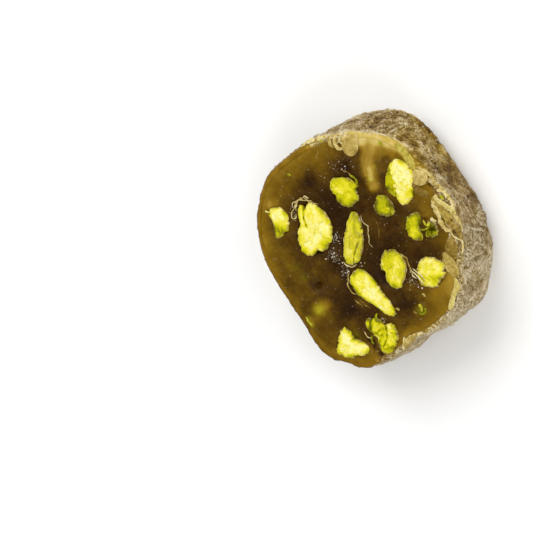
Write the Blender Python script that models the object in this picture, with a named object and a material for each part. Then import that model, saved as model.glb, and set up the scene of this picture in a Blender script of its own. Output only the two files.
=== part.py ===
# Half of a block of pistachio turkish delight, lying on its starched back
# with the cut face up.  Lengths in the constants are millimetres.
# +Z is up, the origin is under the middle of the piece, on the surface
# that it lies on.

import math
from collections import namedtuple

import bmesh
import bpy
import numpy as np

MM = 0.001

# The origin is under the middle of the whole piece; the rim's own rounded
# rectangle is centred here.
RIM_CENTRE_X = -0.1
RIM_CENTRE_Y = -0.8

# The block: a rounded rectangle seen from above.
HALF_LENGTH = 21.0          # along X, at the rim of the cut face
HALF_WIDTH = 19.5           # along Y, at the rim of the cut face
CORNER_POWER = 2.5          # 2 would be an ellipse, more is squarer
THICKNESS = 17.0            # from the lying face to the cut face
LOWER_ROUND = 4.2           # radius of the edge that was cast round
RIM_ROUND = 0.9             # radius of the edge made by the knife
WALL_BULGE = 0.4            # the wall stands out this much near its foot
BULGE_FADE = 0.8            # how fast that fades up the wall, 1 as a cosine

# Where the rim and the foot of the wall leave that plain form: angle in
# degrees, outwards in millimetres, half width in degrees.
RIM_CHANGES = (
    (-133.0, -2.6, 25.0),   # corner pulled in as the block was cut
    (-36.0, -1.8, 24.0),    # corner that sags
    (-77.0, -1.6, 25.0),    # flat side between them
    (-157.0, 1.0, 10.0),
    (22.0, 0.5, 10.0),
    (125.0, 2.3, 14.0),     # drawn-out corner, with a notch in it
    (142.0, 1.2, 6.0),
    (151.0, 1.1, 11.0),
    (171.0, -0.9, 6.0),
)
FOOT_CHANGES = (
    (-42.0, 2.8, 26.0),     # the sagging corner spreads at its foot
    (-136.0, 1.5, 15.0),
    (-98.0, -0.4, 10.0),    # upright stretch of wall
)

# Torn lips that stand up along the rim: angle, rise, half width.
RIM_LIPS = (
    (-25.0, 0.6, 7.0),      # knot of skin
    (-66.0, 0.5, 6.0),
    (-82.0, 0.5, 5.0),
    (-101.0, 0.5, 6.0),
    (-127.0, 0.4, 9.0),
    (-152.0, 0.4, 6.0),
    (168.0, 0.3, 6.0),
)

# Height of the cut face over the rim's level: x, y, rise, reach.
FACE_RISES = (
    (9.5, -9.2, 0.7, 3.0),      # a kernel buried under the face
    (14.6, -11.6, -0.6, 3.4),   # ledge that sags at the slumped corner
    (-1.3, 12.2, -0.7, 1.6),    # pit
    (-15.0, -10.5, -0.5, 3.5),
    (-1.0, 2.6, -0.3, 9.0),     # the middle is drawn in a little
)

# Meshing of the block.
ROUND_STEPS = 60
LOWER_ARC_STEPS = 4
WALL_STEPS = 5
RIM_ARC_STEPS = 3
FACE_RINGS = (0.95, 0.88, 0.78, 0.67, 0.56, 0.45, 0.34, 0.23, 0.12)
FLOOR_RINGS = (0.5, 1.0)
LIP_REACH = 0.06            # share of the radius over which a lip sinks

# A pistachio kernel laid open by the knife: its place, length, width, the
# turn of its length from +X in degrees, its corner power, how much its far
# end tapers, how far its middle bends aside, how deep it sits, how far it
# stands proud, and where its outline leaves that form (angle from its
# length, share of the radius, half width in degrees).
Kernel = namedtuple("Kernel", "x y length width turn power taper bend depth proud changes")
KERNELS = {
    "kernel_split": Kernel(7.4, 7.1, 10.2, 7.4, 146, 1.9, -0.10, 0.4, 4.2, 0.7,
                           ((-140, 0.14, 18), (-110, -0.08, 30))),
    "kernel_long": Kernel(1.5, 1.5, 10.4, 4.2, 139, 2.0, -0.20, 0.1, 3.4, 0.7, ()),
    "kernel_club": Kernel(-9.2, 4.5, 11.5, 4.3, 10, 2.3, -0.38, 0.2, 3.4, 0.7,
                          ((107, -0.36, 28),)),
    "kernel_pale": Kernel(4.5, -12.5, 8.3, 6.0, 157, 1.9, 0.17, -0.1, 3.6, 0.6,
                          ((-129, -0.10, 23), (-49, -0.19, 18))),
    "kernel_lime": Kernel(9.5, -2.6, 6.6, 5.3, 15, 2.0, 0.24, -0.1, 3.4, 0.6,
                          ((-139, -0.15, 18), (-83, -0.10, 23))),
    "kernel_diamond": Kernel(-7.5, -1.8, 8.0, 5.0, 152, 1.9, 0.24, 0.0, 3.2, 0.6,
                             ((148, -0.14, 34),)),
    "kernel_round": Kernel(-12.0, -7.2, 5.9, 5.6, 114, 2.2, 0.0, -0.1, 3.4, 0.7,
                           ((-81, -0.10, 20),)),
    "kernel_heart": Kernel(-14.3, 13.9, 7.0, 4.9, 28, 2.8, -0.30, 0.5, 3.2, 0.6,
                           ((8, -0.16, 42), (127, -0.37, 28))),
    "kernel_side": Kernel(12.3, 11.8, 6.1, 3.7, 158, 2.7, 0.11, 0.5, 3.2, 0.4,
                          ((77, -0.10, 27), (26, -0.16, 27))),
    "kernel_olive": Kernel(2.7, -7.2, 4.3, 3.9, 2, 2.2, 0.0, 0.2, 2.8, 0.4,
                           ((118, -0.07, 30),)),
    "kernel_sunk": Kernel(-3.7, -9.9, 5.8, 3.4, 152, 2.0, -0.06, -0.4, 2.8, 0.3,
                          ((76, -0.26, 23),)),
    "kernel_crumb": Kernel(-5.9, -12.1, 3.3, 2.6, 150, 2.4, 0.0, 0.0, 2.2, 0.4,
                           ((-60, -0.16, 26),)),
    "kernel_curled": Kernel(-15.9, 7.7, 7.6, 5.3, 3, 2.0, 0.14, -0.5, 3.0, 0.5,
                            ((-59, -0.42, 17), (89, -0.42, 28))),
}
KERNEL_STEPS = 20
KERNEL_RINGS = 8
KERNEL_SINK = 0.5           # depth at which a kernel is widest
POCKET_GAP = 0.3            # between a kernel and its pocket
SHARPEST_CORNER = 1.25      # a pocket's corners are drawn out no more

GEL_COLOUR = (0.085, 0.044, 0.006, 1.0)
GEL_ROUGHNESS = 0.4
KERNEL_COLOUR = (0.72, 0.66, 0.08, 1.0)
KERNEL_ROUGHNESS = 0.6


def clear_scene():
    for thing in list(bpy.data.objects):
        bpy.data.objects.remove(thing)


def new_collection(name):
    collection = bpy.data.collections.new(name)
    bpy.context.scene.collection.children.link(collection)
    return collection


def new_material(name, colour, roughness):
    material = bpy.data.materials.new(name)
    material.use_nodes = True
    shader = material.node_tree.nodes["Principled BSDF"]
    shader.inputs["Base Color"].default_value = colour
    shader.inputs["Roughness"].default_value = roughness
    shader.inputs["Metallic"].default_value = 0.0
    return material


def bell(offset, width):
    """A smooth bump, 1 at no offset and nearly 0 at twice the width."""
    return np.exp(-((offset / width) ** 2))


def turn_between(angle, other):
    """The angle from one direction to another, from -180 to 180 degrees."""
    return (angle - other + 180.0) % 360.0 - 180.0


def changes_at(angle, changes):
    """The sum of the smooth bumps and dents at an angle."""
    total = 0.0
    for centre, change, width in changes:
        total += change * float(bell(turn_between(angle, centre), width))
    return total


def rounded_rectangle(angle, half_x, half_y, power):
    """Distance from the middle to a superellipse in a direction."""
    turn = np.radians(angle)
    across = (np.abs(np.cos(turn)) / half_x) ** power
    along = (np.abs(np.sin(turn)) / half_y) ** power
    return (across + along) ** (-1.0 / power)


def rim_radius(angle):
    """Distance from the middle to the rim of the cut face."""
    radius = rounded_rectangle(angle, HALF_LENGTH, HALF_WIDTH, CORNER_POWER)
    return radius + changes_at(angle, RIM_CHANGES)


def wall_bulge(angle):
    """How far the wall stands out past the rim near its foot."""
    return WALL_BULGE + changes_at(angle, FOOT_CHANGES)


def face_height(x, y):
    """Height of the cut face at a place."""
    height = THICKNESS
    for centre_x, centre_y, rise, reach in FACE_RISES:
        height = height + rise * bell(np.hypot(x - centre_x, y - centre_y), reach)
    return height


def block_profile():
    """The block's section from the lying face to the cut face.

    Each step is (share of the radius kept, distance in from the rim,
    height, share of the bulge, share of the lips).  A height of None is
    the cut face's own.
    """
    steps = []
    for share in FLOOR_RINGS:
        steps.append((share, LOWER_ROUND * share, 0.0, 0.0, 0.0))
    for step in range(1, LOWER_ARC_STEPS + 1):
        turn = 0.5 * math.pi * step / LOWER_ARC_STEPS
        inset = LOWER_ROUND * (1.0 - math.sin(turn))
        height = LOWER_ROUND * (1.0 - math.cos(turn))
        steps.append((1.0, inset, height, step / LOWER_ARC_STEPS, 0.0))
    wall_top = THICKNESS - RIM_ROUND
    for step in range(1, WALL_STEPS + 1):
        share = step / WALL_STEPS
        height = LOWER_ROUND + (wall_top - LOWER_ROUND) * share
        bulge = math.cos(0.5 * math.pi * share) ** BULGE_FADE
        steps.append((1.0, 0.0, height, bulge, 0.0))
    for step in range(1, RIM_ARC_STEPS + 1):
        turn = 0.5 * math.pi * step / RIM_ARC_STEPS
        inset = RIM_ROUND * (1.0 - math.cos(turn))
        height = wall_top + RIM_ROUND * math.sin(turn)
        steps.append((1.0, inset, height, 0.0, step / RIM_ARC_STEPS))
    for share in FACE_RINGS:
        lip = float(bell(1.0 - share, LIP_REACH))
        steps.append((share, RIM_ROUND * share, None, 0.0, lip))
    return steps


def make_block(collection, material):
    """A sphere whose rings are carried to the rings of the block's profile."""
    profile = block_profile()
    shape = bmesh.new()
    bmesh.ops.create_uvsphere(
        shape, u_segments=ROUND_STEPS, v_segments=len(profile) + 1, radius=1.0)
    ring_angle = math.pi / (len(profile) + 1)
    for vertex in shape.verts:
        ring = round(math.acos(max(-1.0, min(1.0, -vertex.co.z))) / ring_angle)
        if ring == 0:
            vertex.co = placed(0.0, 0.0, 0.0)
            continue
        if ring > len(profile):
            vertex.co = placed(0.0, 0.0, face_height(0.0, 0.0))
            continue
        share, inset, height, bulge, lip = profile[ring - 1]
        turn = math.atan2(vertex.co.y, vertex.co.x)
        angle = math.degrees(turn)
        radius = rim_radius(angle) * share - inset + wall_bulge(angle) * bulge
        x = radius * math.cos(turn)
        y = radius * math.sin(turn)
        settled = face_height(x, y)
        if height is None:
            height = settled
        else:
            height *= 1.0 + (settled / THICKNESS - 1.0) * height / THICKNESS
        height += changes_at(angle, RIM_LIPS) * lip
        vertex.co = placed(x, y, height)
    return finish_mesh(shape, "gel_block", collection, material)


def kernel_point(kernel, angle, level):
    """A point of a kernel's surface.

    The angle goes round its outline, and the level from -1, its buried tip,
    over 0, where it is widest, to 1, the middle of its cut top.
    """
    turn = math.radians(angle)
    keep = 1.0 + changes_at(angle, kernel.changes)
    along = keep * math.copysign(abs(math.cos(turn)) ** (2.0 / kernel.power), math.cos(turn))
    across = keep * math.copysign(abs(math.sin(turn)) ** (2.0 / kernel.power), math.sin(turn))
    across *= 1.0 - kernel.taper * along
    if level < 0.0:
        scale = math.sqrt(max(0.0, 1.0 - level * level))
        height = level * (kernel.depth - KERNEL_SINK) - KERNEL_SINK
    else:
        scale = 1.0 - level ** 3
        height = (kernel.proud + KERNEL_SINK) * (1.0 - (1.0 - level) ** 3) - KERNEL_SINK
    u = 0.5 * kernel.length * along * scale
    v = 0.5 * kernel.width * across * scale
    v += kernel.bend * (1.0 - 2.0 * along * along) * scale
    swing = math.radians(kernel.turn)
    x = kernel.x + u * math.cos(swing) - v * math.sin(swing)
    y = kernel.y + u * math.sin(swing) + v * math.cos(swing)
    return placed(x, y, face_height(kernel.x, kernel.y) + height)


def make_kernel(name, kernel, collection, material, grow=0.0):
    """A sphere carried to a kernel's form, or to the pocket round it."""
    shape = bmesh.new()
    bmesh.ops.create_uvsphere(
        shape, u_segments=KERNEL_STEPS, v_segments=KERNEL_RINGS, radius=1.0)
    for vertex in shape.verts:
        level = math.asin(max(-1.0, min(1.0, vertex.co.z))) / (0.5 * math.pi)
        angle = math.degrees(math.atan2(vertex.co.y, vertex.co.x))
        vertex.co = kernel_point(kernel, angle, level)
    shape.normal_update()
    if grow:
        for vertex in shape.verts:
            reach = min(vertex.calc_shell_factor(), SHARPEST_CORNER)
            vertex.co += vertex.normal * grow * reach * MM
    return finish_mesh(shape, name, collection, material)


def placed(x, y, z):
    """A point counted from the rim's centre, in metres from the origin."""
    return (x + RIM_CENTRE_X) * MM, (y + RIM_CENTRE_Y) * MM, z * MM


def finish_mesh(shape, name, collection, material):
    """Write a bmesh into a new smooth object.

    The sphere's faces point outwards, and no step here mirrors it.
    """
    mesh = bpy.data.meshes.new(name)
    shape.to_mesh(mesh)
    shape.free()
    mesh.shade_smooth()
    thing = bpy.data.objects.new(name, mesh)
    if material:
        mesh.materials.append(material)
    collection.objects.link(thing)
    return thing


def cut_pocket(block, pocket):
    """Cut a kernel's pocket into the block."""
    pocket.hide_render = True
    pocket.display_type = "WIRE"
    cut = block.modifiers.new(pocket.name, "BOOLEAN")
    cut.operation = "DIFFERENCE"
    cut.solver = "EXACT"
    cut.object = pocket


def main():
    clear_scene()
    parts = new_collection("turkish_delight")
    cutters = new_collection("cutters")
    gel = new_material("gel", GEL_COLOUR, GEL_ROUGHNESS)
    pistachio = new_material("pistachio", KERNEL_COLOUR, KERNEL_ROUGHNESS)
    block = make_block(parts, gel)
    for name, kernel in KERNELS.items():
        make_kernel(name, kernel, parts, pistachio)
        pocket = make_kernel("pocket_" + name, kernel, cutters, None, grow=POCKET_GAP)
        cut_pocket(block, pocket)


main()
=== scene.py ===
# %% [markdown]
# # Half of a block of pistachio turkish delight
#
# The sweet is a firm brown starch gel with whole pistachios cast into it,
# rolled in starch and then cut through with a knife.  It lies on its starched
# back, so its cut face looks up.  That gives three things to make:
#
# - the gel, smooth and dark, lighter and warmer where it thins to the rim
# - the starch skin, a dry wrinkled film on every side that was not cut
# - the pistachios, cut open by the same stroke as the gel
#
# Small things lie on top of those: torn flaps of the skin that the knife
# dragged over the rim, papery husk, chips of nut and grains of starch.
#
# Everything is a surface worked out with numpy from the same few numbers
# as the solids of the frame, so each piece lands where its solid is.

# %% Load the frame
import math
from collections import namedtuple

import bpy
import numpy as np
from mathutils import Matrix, Vector


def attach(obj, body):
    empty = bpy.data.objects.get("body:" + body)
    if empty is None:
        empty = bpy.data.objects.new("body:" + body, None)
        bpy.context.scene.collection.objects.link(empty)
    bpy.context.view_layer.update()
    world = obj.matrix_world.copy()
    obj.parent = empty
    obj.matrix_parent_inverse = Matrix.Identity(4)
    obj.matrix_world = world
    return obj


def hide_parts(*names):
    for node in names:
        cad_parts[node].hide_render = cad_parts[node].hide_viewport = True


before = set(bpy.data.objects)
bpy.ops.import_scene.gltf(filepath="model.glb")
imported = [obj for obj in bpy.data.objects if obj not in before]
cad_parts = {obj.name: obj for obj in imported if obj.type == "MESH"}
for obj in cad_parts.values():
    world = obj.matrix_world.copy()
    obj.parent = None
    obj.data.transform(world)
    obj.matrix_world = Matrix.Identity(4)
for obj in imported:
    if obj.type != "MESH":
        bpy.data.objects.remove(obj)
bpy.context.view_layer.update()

print("solids:", sorted(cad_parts))

# %% [markdown]
# ## The numbers of the block
#
# Lengths are millimetres and are counted from the middle of the rim, as in
# the solids.  Seen from above the block is a superellipse, a rounded
# rectangle that one exponent makes squarer or rounder.  The hand cut and the
# sag of a soft sweet are smooth bumps added to that at given angles.

# %% The block
MM = 0.001
RIM_CENTRE = np.array([-0.1, -0.8, 0.0])    # from the origin, which is under the whole piece

HALF_LENGTH = 21.0          # along X, at the rim of the cut face
HALF_WIDTH = 19.5           # along Y, at the rim of the cut face
CORNER_POWER = 2.5          # 2 would be an ellipse, more is squarer
THICKNESS = 17.0            # from the lying face to the cut face
LOWER_ROUND = 4.2           # radius of the edge that was cast round
RIM_ROUND = 0.9             # radius of the edge made by the knife
MEAN_RADIUS = 20.0          # where noise that only runs round the rim is read
WALL_BULGE = 0.4            # the wall stands out this much near its foot
BULGE_FADE = 0.8

# Angle in degrees, outwards in millimetres, half width in degrees.
RIM_CHANGES = (
    (-133, -2.6, 25), (-36, -1.8, 24), (-77, -1.6, 25),
    (-157, 1, 10), (22, 0.5, 10), (125, 2.3, 14),
    (142, 1.2, 6), (151, 1.1, 11), (171, -0.9, 6),
)
FOOT_CHANGES = ((-42, 2.8, 26), (-136, 1.5, 15), (-98, -0.4, 10))

# Torn lips that stand up along the rim: angle, rise, half width.
RIM_LIPS = (
    (-25, 0.6, 7), (-66, 0.5, 6), (-82, 0.5, 5), (-101, 0.5, 6),
    (-127, 0.4, 9), (-152, 0.4, 6), (168, 0.3, 6),
)
LIP_FADE = 1.2              # mm inwards over which a lip sinks to the face

# x, y, rise, reach: how the cut face leaves the level of the rim.
FACE_RISES = (
    (9.5, -9.2, 0.7, 3), (14.6, -11.6, -0.6, 3.4), (-1.3, 12.2, -0.7, 1.6),
    (-15, -10.5, -0.5, 3.5), (-1, 2.6, -0.3, 9),
)


# %% Smooth bumps
def bell(offset, width):
    """A smooth bump: e to the power of minus (offset / width) squared."""
    return np.exp(-((offset / width) ** 2))


def ease(share):
    """0 up to 0, 1 from 1, and 3 s^2 - 2 s^3 between them."""
    share = np.clip(share, 0.0, 1.0)
    return share * share * (3.0 - 2.0 * share)


def turn_between(angle, other):
    """The angle from one direction to another, from -180 to 180 degrees."""
    return (angle - other + 180.0) % 360.0 - 180.0


def changes_at(angle, changes):
    """The sum of a change times a bell of the turn to its own angle."""
    total = np.zeros_like(angle)
    for centre, change, width in changes:
        total += change * bell(turn_between(angle, centre), width)
    return total


# %% The rim and the face
def polar(radius, angle):
    """x and y at a distance in a direction: the radius times cos and sin."""
    turn = np.radians(angle)
    return radius * np.cos(turn), radius * np.sin(turn)


def rim_radius(angle):
    """Distance to the rim: (|cos/a|^n + |sin/b|^n)^(-1/n), plus its changes."""
    turn = np.radians(angle)
    along = (np.abs(np.cos(turn)) / HALF_LENGTH) ** CORNER_POWER
    across = (np.abs(np.sin(turn)) / HALF_WIDTH) ** CORNER_POWER
    return (along + across) ** (-1.0 / CORNER_POWER) + changes_at(angle, RIM_CHANGES)


def wall_bulge(angle):
    """How far the wall stands out past the rim near its foot."""
    return WALL_BULGE + changes_at(angle, FOOT_CHANGES)


def face_height(x, y):
    """Height of the cut face: the thickness plus rise times bell of the distance."""
    height = np.full(np.shape(x), THICKNESS)
    for centre_x, centre_y, rise, reach in FACE_RISES:
        height = height + rise * bell(np.hypot(x - centre_x, y - centre_y), reach)
    return height


print("rim from", round(float(rim_radius(np.arange(360.0)).min()), 1),
      "to", round(float(rim_radius(np.arange(360.0)).max()), 1), "mm from its middle")

# %% [markdown]
# ## Unevenness that is the same every time
#
# Nothing on a sweet is even, so most shapes here are disturbed by noise.
# Blender has noise in its materials, but a mesh needs it as numbers.  This is
# the classic gradient noise: each corner of a grid in space gets a random
# slope, and a point blends the slopes of the eight corners round it.  The
# slopes come from a hash of the corner's whole numbers, not from a random
# generator, so any part of any surface can ask for it in any order.

# %% Noise
HASH_MASK = 0x7FFFFFFF


def hashed(x, y, z, seed):
    """A fixed number from -1 to 1 for whole x, y, z: multiply, mask, shift, mix."""
    mixed = (x * 73856093 ^ y * 19349663 ^ z * 83492791 ^ (seed * 26544357 + 97)) & HASH_MASK
    mixed = ((mixed ^ (mixed >> 15)) * 668265261) & HASH_MASK
    mixed = ((mixed ^ (mixed >> 13)) * 374761393) & HASH_MASK
    return (mixed ^ (mixed >> 16)) / (0.5 * HASH_MASK) - 1.0


def noise(x, y, z, size, seed=0):
    """Gradient noise, from about -1 to 1, whose bumps are `size` wide.

    It is the sum over the eight corners of weight x * weight y * weight z
    times (slope . offset), with the weights eased.
    """
    x, y, z = np.broadcast_arrays(x / size, y / size, z / size)
    cell = [np.floor(v).astype(np.int64) for v in (x, y, z)]
    part = [v - c for v, c in zip((x, y, z), cell)]
    total = np.zeros(x.shape)
    for corner in np.ndindex(2, 2, 2):
        weight = 1.0
        slope = 0.0
        place = [c + k for c, k in zip(cell, corner)]
        for axis in range(3):
            offset = part[axis] - corner[axis]
            weight = weight * ease(1.0 - np.abs(offset))
            slope = slope + offset * hashed(*place, seed * 3 + axis)
        total += weight * slope
    return total * 1.4


def cloud(x, y, z, size, seed=0, layers=3):
    """Noise in layers, each half as wide and half as strong as the one before."""
    total = 0.0
    for layer in range(layers):
        total = total + noise(x, y, z, size * 0.5 ** layer, seed + 17 * layer) * 0.5 ** layer
    return total


sample = noise(*np.random.default_rng(1).uniform(-50.0, 50.0, (3, 20000)), 3.0)
print("noise runs from", round(float(sample.min()), 2), "to", round(float(sample.max()), 2))


# %% Lines and cells made of noise
def veins(x, y, z, size, seed=0, sharp=4.0):
    """Thin lines where noise crosses 0: (1 - |noise|) to a power."""
    return np.clip(1.0 - np.abs(noise(x, y, z, size, seed)) * 1.6, 0.0, 1.0) ** sharp


def facets(place, size, seed=0):
    """Broken or crumpled stuff, from about -1 to 1: flat tilted cells with steps between.

    `place` is a list of two or three coordinates.  Space is cut into cells,
    each nearest to its own seed, one seed to a square or cube of side `size`.
    Inside a cell, height = 0.55 * level + slope . offset.
    """
    place = [values / size for values in np.broadcast_arrays(*place)]
    nearest = np.full(place[0].shape, 9.0)
    height = np.zeros(place[0].shape)
    for steps in np.ndindex(*(3 for _ in place)):
        cell = [np.floor(values).astype(np.int64) + step - 1 for values, step in zip(place, steps)]
        cell_z = cell[2] if len(cell) > 2 else 0
        plane = 0.55 * hashed(cell[0], cell[1], cell_z, 7 * seed)
        distance = 0.0
        for axis, (values, corner) in enumerate(zip(place, cell)):
            offset = values - corner - 0.5 - 0.42 * hashed(cell[0], cell[1], cell_z, 7 * seed + 1 + axis)
            plane = plane + offset * hashed(cell[0], cell[1], cell_z, 7 * seed + 4 + axis)
            distance = distance + offset ** 2
        closer = distance < nearest
        nearest = np.where(closer, distance, nearest)
        height = np.where(closer, plane, height)
    return height


def scratches(place, length, width, seed=0):
    """Short thin lines in three fixed directions: veins of noise drawn out along each.

    The coordinate along a direction is divided by length / width, so a bump
    becomes a streak, and a wider noise lets only some of the streaks through.
    """
    total = 0.0
    for number, direction in enumerate(((0.7, 0.3, 0.65), (-0.5, 0.75, -0.43), (0.3, -0.35, 0.89))):
        direction = np.array(direction) / np.linalg.norm(direction)
        along = sum(values * part for values, part in zip(place, direction))
        squeezed = [values - (1.0 - width / length) * along * part
                    for values, part in zip(place, direction)]
        lines = veins(*squeezed, 3.0 * width, seed + 7 * number, 5.0)
        gate = ease(0.2 + 1.6 * noise(*place, 1.9, seed + 7 * number + 3))
        total = np.maximum(total, lines * gate)
    return total


sample = veins(*np.random.default_rng(1).uniform(-50.0, 50.0, (3, 20000)), 3.0)
print("veins cover", round(100.0 * float((sample > 0.5).mean())), "percent of space")

# %% [markdown]
# ## Closed surfaces from a grid
#
# Every piece is a grid of points: rows climb from one pole to the other and
# columns go round.  Four neighbours make a face, and each pole closes its ring
# with a fan of triangles.  As the columns run anticlockwise seen from the top
# pole, all faces point outwards.  Painting is one number per point, which the
# mesh keeps as an attribute that a material can read.

# %% Writing a mesh
Surface = namedtuple("Surface", "points first last paint")


def grid_faces(rows, columns):
    """The quads and pole triangles of a closed grid, as rows of point numbers."""
    index = np.arange(rows * columns).reshape(rows, columns)
    beside = np.roll(index, -1, axis=1)
    quads = np.stack([index[:-1], beside[:-1], beside[1:], index[1:]], axis=-1).reshape(-1, 4)
    first = np.full(columns, rows * columns)
    low = np.stack([first, beside[0], index[0]], axis=-1)
    high = np.stack([first + 1, index[-1], beside[-1]], axis=-1)
    return quads, np.vstack([low, high])


# %% Objects that ride on the root
def placed(name, data):
    """A new object of some data, linked to the scene at the origin."""
    thing = bpy.data.objects.new(name, data)
    bpy.context.scene.collection.objects.link(thing)
    return thing


def ride_root(name, mesh, material, nodes=()):
    """A finished mesh as a piece that rides on the root and may stand for nodes."""
    mesh.materials.append(material)
    piece = placed(name, mesh)
    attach(piece, "root")
    if nodes:
        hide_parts(*nodes)


def paint_mesh(mesh, key, values):
    """One number per point, kept under a name."""
    mesh.attributes.new(key, "FLOAT", "POINT").data.foreach_set("value", values.astype(np.float32))


# %% Closed grids as one piece
def write_piece(name, surfaces, material, nodes=()):
    """One object from closed surfaces, in metres, riding on the root."""
    points, quads, fans, paint = [], [], [], {}
    start = 0
    for surface in surfaces:
        rows, columns = surface.points.shape[:2]
        points.append(np.vstack([surface.points.reshape(-1, 3), surface.first, surface.last]))
        more_quads, more_fans = grid_faces(rows, columns)
        quads.append(more_quads + start)
        fans.append(more_fans + start)
        for key, values in surface.paint.items():
            values = np.broadcast_to(values, (rows, columns))
            ends = [values[0].mean(), values[-1].mean()]
            paint.setdefault(key, []).append(np.concatenate([values.ravel(), ends]))
        start += rows * columns + 2
    points = (np.vstack(points) + RIM_CENTRE) * MM
    faces = np.vstack(quads).tolist() + np.vstack(fans).tolist()
    mesh = bpy.data.meshes.new(name)
    mesh.from_pydata(points.tolist(), [], faces)
    for key, values in paint.items():
        paint_mesh(mesh, key, np.concatenate(values))
    mesh.shade_smooth()
    ride_root(name, mesh, material, nodes)
    print(name, "has", 2 * len(np.vstack(quads)) + len(np.vstack(fans)), "triangles")


# %% [markdown]
# ## Materials from a few nodes
#
# All materials work the same way: a painted number, stirred with a little
# noise, is looked up in a ramp of colours, and finer noise gives roughness
# and bump.  The two helpers keep that short.  Colours are written as they
# are seen on a screen, 0 to 255, and turned into the linear light that
# Blender counts in.

# %% Material helpers
KEY = 1.15                  # how bright the lights below make a white thing that lies flat


def linear(red, green, blue):
    """Screen colour to the share of light it sends back: ((c + 0.055) / 1.055) ^ 2.4 / KEY."""
    seen = np.array([red, green, blue]) / 255.0
    light = np.where(seen < 0.04045, seen / 12.92, ((seen + 0.055) / 1.055) ** 2.4)
    return (*(light / KEY).tolist(), 1.0)


class Recipe:
    """A new material and short ways to add and join its nodes."""

    def __init__(self, name, roughness, specular):
        self.material = bpy.data.materials.new(name)
        self.material.use_nodes = True
        self.nodes = self.material.node_tree.nodes
        self.links = self.material.node_tree.links
        self.shader = self.nodes["Principled BSDF"]
        self.shader.inputs["Roughness"].default_value = roughness
        self.shader.inputs["Specular IOR Level"].default_value = specular
        self.place = self.nodes.new("ShaderNodeTexCoord").outputs["Object"]

    def put(self, socket, value):
        """Joins a socket to another or sets its value."""
        if isinstance(value, bpy.types.NodeSocket):
            self.links.new(value, socket)
        else:
            socket.default_value = value

    def painted(self, name):
        """The number painted on the mesh under a name."""
        node = self.nodes.new("ShaderNodeAttribute")
        node.attribute_name = name
        return node.outputs["Fac"]

    def grain(self, size_mm, detail=2.0, stretch=(1.0, 1.0, 1.0), twist=0.0):
        """Noise from 0 to 1 with bumps of a size, stretched along the axes."""
        mapping = self.nodes.new("ShaderNodeMapping")
        mapping.inputs["Scale"].default_value = stretch
        self.put(mapping.inputs["Vector"], self.place)
        node = self.nodes.new("ShaderNodeTexNoise")
        node.inputs["Scale"].default_value = 1.0 / (size_mm * MM)
        node.inputs["Detail"].default_value = detail
        node.inputs["Distortion"].default_value = twist
        self.put(node.inputs["Vector"], mapping.outputs["Vector"])
        return node.outputs["Fac"]

    def sum(self, first, second, operation="ADD"):
        """Two numbers added, or joined by another operation."""
        node = self.nodes.new("ShaderNodeMath")
        node.operation = operation
        self.put(node.inputs[0], first)
        self.put(node.inputs[1], second)
        return node.outputs["Value"]

    def stirred(self, value, grain, strength):
        """A value plus strength times (grain - 0.5)."""
        swing = self.nodes.new("ShaderNodeMath")
        swing.operation = "MULTIPLY_ADD"
        self.put(swing.inputs[0], grain)
        swing.inputs[1].default_value = strength
        swing.inputs[2].default_value = -0.5 * strength
        return self.sum(value, swing.outputs["Value"])

    def fade(self, value, low, high, to_low=0.0, to_high=1.0):
        """A value carried smoothly from one range to another."""
        node = self.nodes.new("ShaderNodeMapRange")
        node.interpolation_type = "SMOOTHSTEP"
        self.put(node.inputs["Value"], value)
        node.inputs["From Min"].default_value = low
        node.inputs["From Max"].default_value = high
        node.inputs["To Min"].default_value = to_low
        node.inputs["To Max"].default_value = to_high
        return node.outputs["Result"]

    def ramp(self, value, stops):
        """A colour looked up between stops of (place, screen colour)."""
        node = self.nodes.new("ShaderNodeValToRGB")
        elements = node.color_ramp.elements
        elements.remove(elements[1])
        for number, (place, colour) in enumerate(stops):
            stop = elements[0] if number == 0 else elements.new(place)
            stop.position = place
            stop.color = linear(*colour)
        self.put(node.inputs["Fac"], value)
        return node.outputs["Color"]

    def mix(self, share, first, second):
        """Two colours mixed by a share."""
        node = self.nodes.new("ShaderNodeMix")
        node.data_type = "RGBA"
        self.put(node.inputs[0], share)
        self.put(node.inputs[6], first)
        self.put(node.inputs[7], second)
        return node.outputs[2]

    def bump(self, height, depth_mm, below=None):
        """A bump of a depth, on top of another bump."""
        node = self.nodes.new("ShaderNodeBump")
        node.inputs["Strength"].default_value = 1.0
        node.inputs["Distance"].default_value = depth_mm * MM
        self.put(node.inputs["Height"], height)
        if below is not None:
            self.put(node.inputs["Normal"], below)
        return node.outputs["Normal"]

    def finish(self, colour, rough=None, normal=None):
        """Joins the colour, roughness and normal to the shader."""
        self.put(self.shader.inputs["Base Color"], colour)
        if rough is not None:
            self.put(self.shader.inputs["Roughness"], rough)
        if normal is not None:
            self.put(self.shader.inputs["Normal"], normal)
        return self.material


# %% [markdown]
# ## Where the pistachios lie
#
# Each kernel is a superellipse too, tapered and bent, with bumps in its
# outline.  The gel needs to know where they are, because it dips round them,
# so their numbers come before it.

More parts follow.
